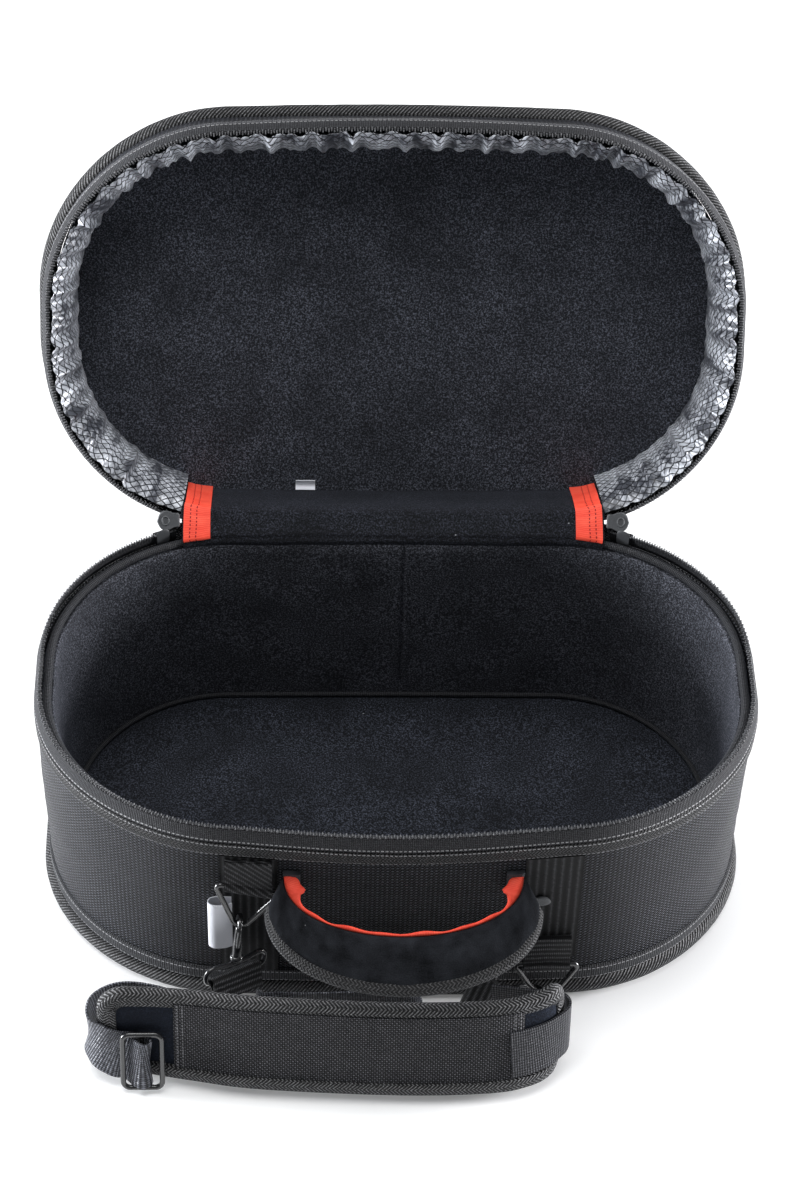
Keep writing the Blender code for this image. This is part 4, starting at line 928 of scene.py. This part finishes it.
def build_seam_tag():
    trace = smooth_path([(-11.6, 55.0), (-13.6, 57.6), (-16.4, 57.8), (-18.8, 55.8)], 3)
    rows = [[lid_point(-69.0 + 14.0 * k / 6, p.x, p.y) for p in trace] for k in range(7)]
    settle(sheet_of("seam_label", rows, [2.3 * k for k in range(7)], LABEL, 0.5), "lid", "seam_tag")


# Front: webbing, loops, rings, the blank side tag and the hooks.


def front_web(name, centre, width, low, high, thick, look, crown=0.35):
    """Flat webbing up the front wall, a little thicker along its middle."""
    section = [(k / 5 - 1, thick * (0.86 + crown * 0.4 * (1 - (k / 5 - 1) ** 6))) for k in range(11)]
    section += [(u, 0.0) for u in (1.0, 0.3, -0.3, -1.0)]
    heights = spread(low, high, 4.0)
    rows = []
    for z in heights:
        base = wall_offset(z) + GAP
        rows.append([plan_point(FRONT - centre - u * width / 2, base + v, z) for u, v in section])
    return grid(name, rows, look, heights, 50.0)


def ring_loop(name, bar, slope, tail_top, node):
    """Webbing folded round a ring's bar, with both its tails up the wall."""
    middle = RING_WIRE + 1.0 + WEB_THICK / 2
    ends = spread(-1.0, 1.0, 0.25)
    rows = []
    for end in ends:
        x = bar.x + end * LOOP_WIDTH / 2
        drop = bar.z - slope * end * LOOP_WIDTH / 2
        mid_y = bar.y + wall_y(x, drop) - wall_y(bar.x, bar.z)
        tail_y = wall_y(x, tail_top, 2 * WEB_THICK + 1.1)
        bend = []
        for a in range(68, -249, -12):
            bend.append(Vector((x, mid_y - middle * cos(radians(a)), drop + middle * sin(radians(a)))))
        first = Vector((x, tail_y - 0.22 - WEB_THICK / 2, tail_top))
        last = Vector((x, tail_y + 0.22 + WEB_THICK / 2, tail_top))
        trace = [first.lerp(bend[0], k / 5) for k in range(5)] + bend
        trace += [bend[-1].lerp(last, k / 5) for k in range(1, 6)]
        rows.append(strip_loop(trace, -X, WEB_THICK, 0.12 * cos(pi * end)))
    settle(grid(name, rows, WEB_CROSS, [e * LOOP_WIDTH / 2 for e in ends], 60.0), "tub", node)


def triangle_ring(name, bar, slope, tilt):
    """Wire triangle that hangs from its bar. Returns how it is turned."""
    half = RING_WIDTH / 2
    corners = [Vector((-half, 0.0, 0.0)), Vector((half, 0.0, 0.0)), Vector((0.0, 0.0, -RING_DROP))]
    points = []
    for i, bend in enumerate((2.6, 2.6, 6.6)):
        before = (corners[i - 1] - corners[i]).normalized()
        after = (corners[(i + 1) % 3] - corners[i]).normalized()
        wide = before.angle(after) / 2
        middle = corners[i] + (before + after).normalized() * (bend / sin(wide))
        start = corners[i] + before * (bend / tan(wide)) - middle
        stop = corners[i] + after * (bend / tan(wide)) - middle
        points += [middle + start.lerp(stop, k / 10).normalized() * bend for k in range(11)]
    spin = Matrix.Rotation(atan(slope), 3, "Y") @ Matrix.Rotation(radians(-tilt), 3, "X")
    frames = wire_frames([bar + spin @ p for p in points], spin @ Y, True)
    settle(tube("wire_" + name, frames, circle(RING_WIRE, 16), METAL, True), name, name)
    return spin


def tapered(points, normal, sizes):
    """Frames along a wire of changing radius."""
    return [(p, a * size, b * size) for (p, a, b), size in zip(wire_frames(points, normal), sizes)]


def hook_body(side, seat, stem, normal):
    """Curved hook, thicker towards its root, and its gate."""
    across = normal.cross(stem)
    points = []
    for a in (-52, -25, 5, 35, 65, 95, 125, 152):
        points.append((HOOK_BEND * sin(radians(a)), -HOOK_BEND * cos(radians(a))))
    points = smooth_path(points + [(2.4, 12.5), (0.0, 18.0), (0.0, SHANK)], 4)
    sizes = smooth_path([(r, 0.0) for r in (1.5, 1.9, 2.2, 2.3, 2.4, 2.4, 2.4, 2.5, 2.9, 3.3, 3.3)], 4)
    spots = [seat + across * p.x + stem * p.y for p in points]
    frames = tapered(spots, normal, [p.x for p in sizes])
    body = tube("hook_" + side + "_body", frames, circle(1.0, 16), METAL)
    settle(body, "hook_" + side, "hook_body_" + side)
    foot = seat - across * 3.6 + stem * 15.0
    lip = seat - across * 6.9 - stem * 2.4
    sizes = [1.35 * r for r in (0.9, 1.05, 1.12, 1.15, 1.1, 1.0, 0.78)]
    frames = tapered([foot.lerp(lip, k / 6) for k in range(7)], normal, sizes)
    bar = tube("gate_" + side + "_bar", frames, circle(1.0, 14), METAL)
    settle(bar, "gate_" + side, "hook_gate_" + side)


def hook_swivel(side, seat, stem, bar_dir):
    """Wire loop and knuckle at the hook's root."""
    low = seat + stem * (SHANK + GAP)
    flat = stem.cross(bar_dir)
    trace = [(0.35, 0.12), (0.80, 0.0), (1.0, 0.25), (1.0, 0.75), (0.85, 1.0), (0.4, 1.0)]
    shape = [(RING_WIDTH / 2 * u, 5.0 + 13.0 * v) for u, v in trace]
    shape += [(-u, v) for u, v in reversed(shape)]
    spots = [low + bar_dir * p.x + stem * p.y for p in smooth_path(shape + shape[:1], 4)[:-1]]
    loop = tube("swivel_" + side + "_loop", wire_frames(spots, flat, True), circle(EYE_WIRE, 14), METAL, True)
    settle(loop, "swivel_" + side, "hook_loop_" + side)
    frames = []
    for drop, size in ((0.4, 3.0), (0.7, 3.9), (1.4, 4.4), (2.4, 4.5), (3.6, 4.4), (4.3, 3.9), (4.7, 3.0)):
        frames.append((seat + stem * (SHANK + drop), bar_dir * size, flat * size))
    knuckle = tube("swivel_" + side + "_knuckle", frames, circle(1.0, 20), METAL)
    settle(knuckle, "swivel_" + side, "hook_swivel_" + side)


def strap_tail(side, bar, bar_dir, tail):
    """End of the strap's webbing, folded round the swivel's bar."""
    tail = (tail - bar_dir * tail.dot(bar_dir)).normalized()
    beside = tail.cross(bar_dir)
    scale = WEB_THICK / 2 + 0.3
    radius = EYE_WIRE + GAP + scale
    ends = [(15.0, 0.62 * scale), (12.0, 0.66 * scale), (8.5, 0.7 * scale)]
    trace = [(u, -v) for u, v in ends]
    trace += [(radius * cos(radians(a)), radius * sin(radians(a))) for a in range(-60, -301, -20)]
    spots = [bar + tail * u + beside * v for u, v in trace + ends[::-1]]
    loop = strip_loop(spots, bar_dir, BELT_THICK)
    places = [BELT_WIDTH / 2 * e for e in spread(-1.0, 1.0, 0.25)]
    rows = [[p + bar_dir * e for p in loop] for e in places]
    settle(grid("strap_tail_" + side, rows, WEB_CROSS, places, 60.0), "swivel_" + side, "strap_end_" + side)


def snap_hook(side, seat, stem, normal, bar_dir, tail):
    stem = stem.normalized()
    normal = (normal - stem * normal.dot(stem)).normalized()
    bar_dir = (bar_dir - stem * bar_dir.dot(stem)).normalized()
    hook_body(side, seat, stem, normal)
    hook_swivel(side, seat, stem, bar_dir)
    strap_tail(side, seat + stem * (SHANK + GAP + 18.0), bar_dir, tail)


def build_side_tag():
    x = -WEBBING_X - WEBBING / 2
    trace = [(7.5, 3.3), (-3.5, 3.3), (-7.6, 5.2), (-8.0, 9.0), (-4.0, 11.6), (3.0, 11.2), (8.0, 9.2)]
    trace = smooth_path(trace, 4)
    rows = []
    for z in spread(TAG_LOW, TAG_TOP, 3.0):
        swell = 0.5 * sin((z - TAG_LOW) / (TAG_TOP - TAG_LOW) * pi)
        rows.append([Vector((x + p.x, wall_y(x, z, p.y + swell * (p.y > 6)), z)) for p in trace])
    tag = sheet_of("rolled_label", columns(rows), [1.9 * k for k in range(len(trace))], LABEL, -0.6)
    settle(tag, "tub", "side_tag")


def build_front():
    x = WEBBING_X
    high = WALL_TOP - RIM_BAND - GAP
    web = front_web("web_left", -x, WEBBING, BASE_BAND_TOP + GAP, high, WEB_THICK, WEB)
    settle(web, "tub", "webbing_left")
    web = front_web("web_right", x + 3, WEBBING, 42.0, high, WEB_THICK, WEB)
    settle(web, "tub", "webbing_right")
    left = Vector((-x, wall_y(-x, 124.0, 7.4), 124.0))
    ring_loop("loop_left", left, 0.2, 148.0, "ring_loop_left")
    left_spin = triangle_ring("ring_left", left, 0.2, 12.0)
    right = Vector((x + 3, wall_y(x, 38.0, 6.1), 38.5))
    ring_loop("loop_right", right, 0.0, 66.0, "ring_loop_right")
    right_spin = triangle_ring("ring_right", right, 0.0, 12.0)
    build_side_tag()

    nub = plan_point(FRONT - 95.0, wall_offset(109.0) + 3.4, 109.0)
    lens = ((0.35, 1.6), (0.75, 1.9), (1.0, 1.3), (0.8, -0.6), (0.3, -0.9))
    rows = [[nub + Vector((6.2 * r * cos(a), -d, 4.2 * r * sin(a))) for a in turns(24)] for r, d in lens]
    settle(grid("webbing_nub", rows, RUBBER), "tub")

    stem = Vector((-0.08, -0.10, -1.0)).normalized()
    seat = left + left_spin @ Vector((0.0, 0.0, -RING_DROP + 5.9)) + stem * 2.6
    snap_hook("left", seat, stem, left_spin @ X, Vector((0.85, 0.53, 0.0)), Vector((0.28, -0.45, -0.85)))
    stem = Vector((-0.93, -0.22, 0.30)).normalized()
    leg = Vector((-RING_WIDTH / 2, 0.0, RING_DROP)).normalized()
    seat = right + right_spin @ (Vector((0.0, 0.0, -RING_DROP)) + leg * 16.0) + stem
    snap_hook("right", seat, stem, right_spin @ leg, Vector((0.25, 0.1, 1.0)), Vector((0.8, -0.6, 0.0)))


# Handle: a suede crescent with a red pleated lining and a smooth bound edge.

HANDLE_EDGE = [(-6.2, 0.66), (-5.8, 0.82), (-4.2, 0.80), (-2.6, 0.72), (-0.4, 0.56), (1.3, 0.32), (2.0, 0.0)]
HANDLE_EDGE += [(u, -v) for u, v in reversed(HANDLE_EDGE[:-1])]
HANDLE_EDGE += [(-4.0, -0.5), (-1.0, -0.25), (0.0, 0.0), (-1.0, 0.25), (-4.0, 0.5)]


def build_handle():
    tilt = radians(HANDLE_TILT)
    down = Vector((0.0, -sin(tilt), -cos(tilt)))
    out = Vector((0.0, -cos(tilt), sin(tilt)))
    steps = 96
    pad = []
    lining = []
    binding = []
    for k in range(steps + 1):
        c = cos(pi * k / steps)
        s = max(0.0, sin(pi * k / steps))
        a = HANDLE_PIVOT + X * (-79 * c) + down * (-5.5 + 39.8 * s ** 0.9)
        b = HANDLE_PIVOT + X * (-90.5 * c) + down * (17 + 54.3 * s ** 0.95)
        way = (b - a).normalized()
        half = (b - a).length / 2
        thick = HANDLE_THICK / 2 * (0.55 + 0.45 * s ** 0.5)
        row = []
        for turn in turns(22):
            u, v = rounded(turn, 0.8, 0.72)
            soft = 1 + 0.16 * rough(k * 2.2, u * half, v * 5, size=17.0, seed=41.0)
            v *= soft * (1.0 - 0.25 * max(0.0, u) ** 3)
            row.append((a + b) / 2 + way * half * u + out * thick * v)
        pad.append(row)
        binding.append([b + way * u + out * thick * v for u, v in HANDLE_EDGE])

        near = min(k, steps - k)
        bulb = exp(-(((near - 7.0) / 6.0) ** 2)) * min(1.0, 0.25 + near / 4.0)
        pleat = bulb * 0.7 * cos(pi * near / 1.7)
        wavy = (0.5 * sin(k * 0.62) + 0.5 * sin(k * 0.37 + 1.0)) * (1 - bulb)
        swell = (2.6 + 9.4 * bulb + pleat + 0.9 * wavy) / 2
        reach = (way * (1 - 0.85 * bulb) - X * copysign(0.85 * bulb, c)).normalized()
        row = []
        for u, v in circle(swell, 12):
            u -= swell + 0.1
            v *= thick * (0.28 + 0.40 * bulb) / swell
            row.append(a + reach * u + out * (v + 1.6 * wavy * (0.4 - u / 8)))
        lining.append(row)
    us = [2.3 * k for k in range(steps + 1)]
    body = grid("handle_body", pad, SUEDE, us, 60.0)
    settle(body, "handle", "handle_pad")
    trim = grid("handle_red", lining, RED_PLAIN, us, 60.0)
    settle(trim, "handle", "handle_lining")
    settle(grid("handle_rim", binding, TRIM, us, 60.0), "handle", "handle_binding")
    for word, sign in SIDES:
        centre = HANDLE_PIVOT.x + sign * 73.6
        piece = front_web("anchor_" + word, centre, 11.6, 120.0, 141.0, 3.5, SMOOTH, 0.8)
        settle(piece, "tub", "handle_anchor_" + word)


# Strap: padded core, woven face, herringbone edge all round, satin webbing and its buckle.
# The track holds x, y and the lean in degrees.

STRAP_TRACK = [(-193, -200, 5), (-184, -201, 7), (-168, -205, 11), (-135, -211.5, 15), (-90, -218.5, 17)]
STRAP_TRACK += [(0, -223.5, 17), (62, -222, 17), (88, -216, 17), (100, -208, 15), (105, -199, 14)]
STRAP_FOOT = 8.6
PAD_INNER = PAD_HEIGHT - 14.0
BINDING = [(1.16, -9.5), (1.36, -8.9), (1.40, -7.0), (1.42, -5.0), (1.42, -3.0), (1.40, -1.2), (1.28, 0.8)]
BINDING += [(0.98, 2.4), (0.5, 3.4), (0.0, 3.7)]
BINDING += [(-u, v) for u, v in reversed(BINDING[:-1])]


def lean(degrees):
    """Upward direction, leaning away from the front."""
    return 0.0, sin(radians(degrees)), cos(radians(degrees))


def strap_frames(steps):
    """Middle, outward and upward directions along the pad."""
    track = smooth_path([(x, y, STRAP_FOOT) for x, y, degrees in STRAP_TRACK], steps)
    leans = smooth_path([(degrees, 0.0) for x, y, degrees in STRAP_TRACK], steps)
    frames = []
    for i, p in enumerate(track):
        ahead = heading(track, i)
        rise = Vector(lean(leans[i].x))
        frames.append((p + rise * PAD_INNER / 2, Vector((ahead.y, -ahead.x, 0.0)), rise))
    return frames


def pad_half(s, total):
    """Half height of the pad at s along it; its ends are rounded."""
    short = PAD_CORNER - min(PAD_CORNER, s, total - s)
    return PAD_INNER / 2 - PAD_CORNER + sqrt(PAD_CORNER ** 2 - short ** 2)


def strap_core(frames, run, halves):
    rows = []
    for (p, first, second), s, half in zip(frames, run, halves):
        row = []
        for turn in turns(40):
            u, v = rounded(turn, 0.45, 0.75)
            puff = 0.35 + 0.8 * rough(s, v * half, u * 4.0, size=24.0, seed=51.0)
            row.append(p + first * u * (PAD_THICK / 2 + puff * (1 - abs(v) ** 3)) + second * v * half)
        rows.append(row)
    pad = grid("strap_body", rows, NEOPRENE, run, 60.0)
    settle(pad, "tub", "strap_pad")


def strap_face(frames, run):
    """Woven cloth on the pad's outer side."""
    half = PAD_INNER / 2 - 1.5
    under = PAD_THICK / 2 + 0.35
    rows = []
    for (p, first, second), s in zip(frames, run):
        row = []
        for k in range(25):
            v = k / 12 - 1
            puff = 0.3 + 0.8 * rough(s, v * half, 4.0, size=24.0, seed=51.0)
            row.append(p + first * (under + 1.3 + puff * (1 - abs(v) ** 4) * 0.8) + second * v * half)
        rows.append(row + [p + first * under + second * v * half for v in (1.0, 0.5, 0.0, -0.5, -1.0)])
    look = twill("strap_weave", (run[0] + 2.5, run[0] + 6.0, run[-1] - 6.0, run[-1] - 2.5))
    panel = grid("strap_face", rows, look, run, 60.0)
    settle(panel, "tub", "strap_panel")


def strap_edge(frames, run, halves):
    """Binding along the pad's lower edge and back along its upper edge."""
    spots = []
    outs = []
    steps = range(len(frames))
    for i, side in [(i, -1) for i in steps] + [(i, 1) for i in reversed(steps)]:
        p, first, second = frames[i]
        near = min(run[i], run[-1] - run[i])
        beyond = 2.6 * max(0.0, 1 - near / PAD_CORNER) * (-1 if run[i] < run[-1] / 2 else 1)
        spots.append(p + second * (side * (halves[i] + 1.8)) + Vector((-first.y, first.x, 0.0)) * beyond)
        outs.append(first)
    rows = []
    for i, (p, first) in enumerate(zip(spots, outs)):
        middle = min((f[0] for f in frames[16:-16:8]), key=lambda q: (q - p).length)
        wide = heading(spots, i, True).cross(first).normalized()
        if (p + wide - middle).length < (p - middle).length:
            wide = -wide
        rows.append([p + first * u * (PAD_THICK / 2) + wide * v for u, v in BINDING])
    edge = grid("strap_edge", rows, EDGE, lengths(spots, True), 70.0, True)
    settle(edge, "tub", "strap_binding_lower", "strap_binding_upper")


def build_strap():
    frames = strap_frames(12)
    run = lengths([f[0] for f in frames])
    halves = [pad_half(s, run[-1]) for s in run]
    strap_core(frames, run, halves)
    strap_face(frames[FACE_START:FACE_STOP + 1], run[FACE_START:FACE_STOP + 1])
    strap_edge(frames, run, halves)


def webbing_run(name, points, steps, width, look, node):
    """Flat webbing; each point holds a place and the direction of the webbing's width."""
    spots = smooth_path([p[:3] for p in points], steps)
    ups = smooth_path([p[3:] for p in points], steps)
    rows = []
    for i, p in enumerate(spots):
        ahead = heading(spots, i)
        across = (ups[i] - ahead * ups[i].dot(ahead)).normalized()
        out = ahead.cross(across)
        row = []
        for face in (1, -1):
            for v in [face * (k / 5 - 1) for k in range(11)]:
                thick = face * (BELT_THICK / 2 + 0.18 * (1 - v ** 6))
                row.append(p + across * (width / 2) * v + out * thick)
        rows.append(row)
    us = lengths(spots)
    piece = grid(name, rows, look, us, 60.0)
    settle(piece, "tub", node)


def build_belts():
    frames = strap_frames(3)
    lift = PAD_THICK / 2 + 2.2 * GAP + 1.3 + 0.7
    points = [(*(p + first * lift - up * 2), *up) for p, first, up in (frames[n] for n in (19, 20, 21, 23))]
    right = [(112.5, -197.5, 36, 13), (115, -188, 35, 9), (109, -179.5, 33.5, 5)]
    right += [(92, -175, 31.5, 2), (64.5, -168.8, 29.5, 0)]
    points += [(x, y, z, *lean(degrees)) for x, y, z, degrees in right]
    # The right belt wears the darker copy of the satin webbing, which is painted shade.
    webbing_run("belt_to_right", points, 10, BELT_WIDTH, BELT_SHADED, "belt_right")
    left = [(-186, -205.6, 24.5, 8), (-176, -206.7, 24, 10), (-169, -209.4, 24, 13), (-165.2, -213.6, 24, 17)]
    left += [(-168.2, -217.8, 24, 17), (-173, -216.4, 24, 17), (-180, -210.4, 24.5, 17)]
    left += [(-188, -208.4, 26, 17), (-198, -204, 30, 14), (-205, -195, 34, 10), (-201, -183, 37, 7)]
    left += [(-186, -175, 38, 6), (-165, -175, 36, 6), (-135, -183, 31, 12)]
    left += [(-100, -191, 27, 14), (-50, -193.5, 25, 15), (-5, -191, 24, 12), (12, -184, 23, 6)]
    left += [(16, -175, 23, 0), (6, -168.5, 23, -3), (-20, -167, 22, -4)]
    points = [(x, y, z, *lean(degrees)) for x, y, z, degrees in left]
    points += [(-58, -167, 21, 0.1, -0.1, 1.0), (-80, -170, 20.5, 0.5, 0.2, 0.8)]
    points += [(-96, -173.6, 20.6, 0.8, 0.4, 0.3), (-103.2, -172.3, 25.0, 0.845, 0.52, -0.12)]
    points += [(-104.3, -170.0, 29.0, 0.845, 0.52, -0.12)]
    webbing_run("belt_to_left", points, 8, BELT_WIDTH, BELT, "belt_left")


def build_buckle():
    """Wire frame with rounded corners, and a bar up its middle."""
    rise = Vector(lean(17.0))
    out = X.cross(rise)
    middle = Vector((-169.5, -213.6, 24.0))
    half_width, half_height, bend = 13.0, 21.6, 5.0
    points = []
    for n, (u, v) in enumerate(((1, 1), (-1, 1), (-1, -1), (1, -1))):
        corner = middle + X * (u * (half_width - bend)) + rise * (v * (half_height - bend))
        for k in range(9):
            a = radians(90 * n + 11.25 * k)
            points.append(corner + X * (bend * cos(a)) + rise * (bend * sin(a)))
    wire = tube("buckle_frame", wire_frames(points, out, True), circle(1.9, 14), METAL, True)
    settle(wire, "tub", "slider_frame")
    reach = half_height - 1.9 - GAP
    frames = [(middle + rise * v, X, out) for v in spread(-reach, reach, 6.0)]
    settle(tube("buckle_bar", frames, circle(1.6, 12), METAL), "tub", "slider_bar")


build_wall()
build_tub_lining()
build_floor()
build_edges()
build_zips()
build_lid_wall()
build_lid_panels()
build_ripstop()
build_inner_hinge()
build_outer_hinge()
for word, sign in SIDES:
    build_red_tape(word, sign)
build_seam_tag()
build_front()
build_handle()
build_strap()
build_belts()
build_buckle()
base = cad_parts["base_panel"].data.materials
base.clear()
base.append(SKIN_FLAT.mat)


# Studio: pale floor, white world and soft boxes.


def area(name, place, aim, size, watts, colour=(1.0, 1.0, 1.0)):
    data = bpy.data.lights.new(name, "AREA")
    data.shape = "RECTANGLE"
    data.size, data.size_y = size
    data.energy = watts
    data.color = colour
    thing = bpy.data.objects.new(name, data)
    bpy.context.scene.collection.objects.link(thing)
    thing.location = place
    thing.rotation_euler = (Vector(aim) - Vector(place)).to_track_quat("-Z", "Y").to_euler()


def ground():
    mesh = bpy.data.meshes.new("floor")
    mesh.from_pydata([(-6, -6, 0), (6, -6, 0), (6, 6, 0), (-6, 6, 0)], [], [(0, 1, 2, 3)])
    floor = bpy.data.objects.new("floor", mesh)
    bpy.context.scene.collection.objects.link(floor)
    floor.location.z = -0.0004
    mat = bpy.data.materials.new("floor")
    mat.use_nodes = True
    shader = mat.node_tree.nodes["Principled BSDF"]
    shader.inputs["Base Color"].default_value = (0.98, 0.98, 0.98, 1.0)
    shader.inputs["Emission Color"].default_value = (1.0, 1.0, 1.0, 1.0)
    shader.inputs["Emission Strength"].default_value = 0.12
    shader.inputs["Roughness"].default_value = 0.9
    shader.inputs["Specular IOR Level"].default_value = 0.1
    mesh.materials.append(mat)


def sky():
    """Dim light on the bag, plain white to the camera."""
    world = bpy.data.worlds.new("studio")
    bpy.context.scene.world = world
    world.use_nodes = True
    tree = world.node_tree
    shade = tree.nodes["Background"]
    shade.inputs["Color"].default_value = (0.94, 0.97, 1.0, 1)
    shade.inputs["Strength"].default_value = 0.24
    white = tree.nodes.new("ShaderNodeBackground")
    white.inputs["Color"].default_value = (1, 1, 1, 1)
    white.inputs["Strength"].default_value = 1.0
    path = tree.nodes.new("ShaderNodeLightPath")
    mix = tree.nodes.new("ShaderNodeMixShader")
    tree.links.new(path.outputs["Is Camera Ray"], mix.inputs[0])
    tree.links.new(shade.outputs[0], mix.inputs[1])
    tree.links.new(white.outputs[0], mix.inputs[2])
    tree.links.new(mix.outputs[0], tree.nodes["World Output"].inputs["Surface"])


ground()
sky()
area("overhead", (-0.15, 0.30, 2.1), (0, 0.05, 0.1), (2.2, 1.2), 42.0)
area("left", (-2.1, 0.20, 0.33), (-0.15, -0.05, 0.1), (0.8, 0.5), 108.0, (0.95, 0.97, 1.0))
area("right", (2.1, 0.22, 0.33), (0.15, -0.05, 0.1), (0.8, 0.5), 102.0, (0.98, 0.98, 1.0))


# Camera at the photograph's angle: radians and metres, and the photograph's size and aim in its pixels.

PITCH, YAW, ROLL = 0.8147, -0.0429, 0.0336
DISTANCE = 2.2075
TARGET = Vector((0.0, 0.0, 0.19636))
PHOTO_WIDTH, PHOTO_HEIGHT = 800.0, 1200.0
AIM_X, AIM_Y = 397.53, 649.77


def camera():
    back = Vector((sin(YAW) * cos(PITCH), -cos(YAW) * cos(PITCH), sin(PITCH)))
    right = Vector((cos(YAW), sin(YAW), 0.0))
    top = back.cross(right)
    side = right * cos(ROLL) + top * sin(ROLL)
    rise = top * cos(ROLL) - right * sin(ROLL)
    data = bpy.data.cameras.new("photo")
    data.lens = 98.53
    data.sensor_fit = "VERTICAL"
    data.sensor_height = 36.0
    data.shift_x = (PHOTO_WIDTH / 2 - AIM_X) / PHOTO_HEIGHT
    data.shift_y = (AIM_Y - PHOTO_HEIGHT / 2) / PHOTO_HEIGHT
    thing = bpy.data.objects.new("photo", data)
    bpy.context.scene.collection.objects.link(thing)
    turn = Matrix((side, rise, back)).transposed().to_4x4()
    thing.matrix_world = Matrix.Translation(TARGET + back * DISTANCE) @ turn
    bpy.context.scene.camera = thing


camera()
scene = bpy.context.scene
scene.view_settings.view_transform = "Standard"
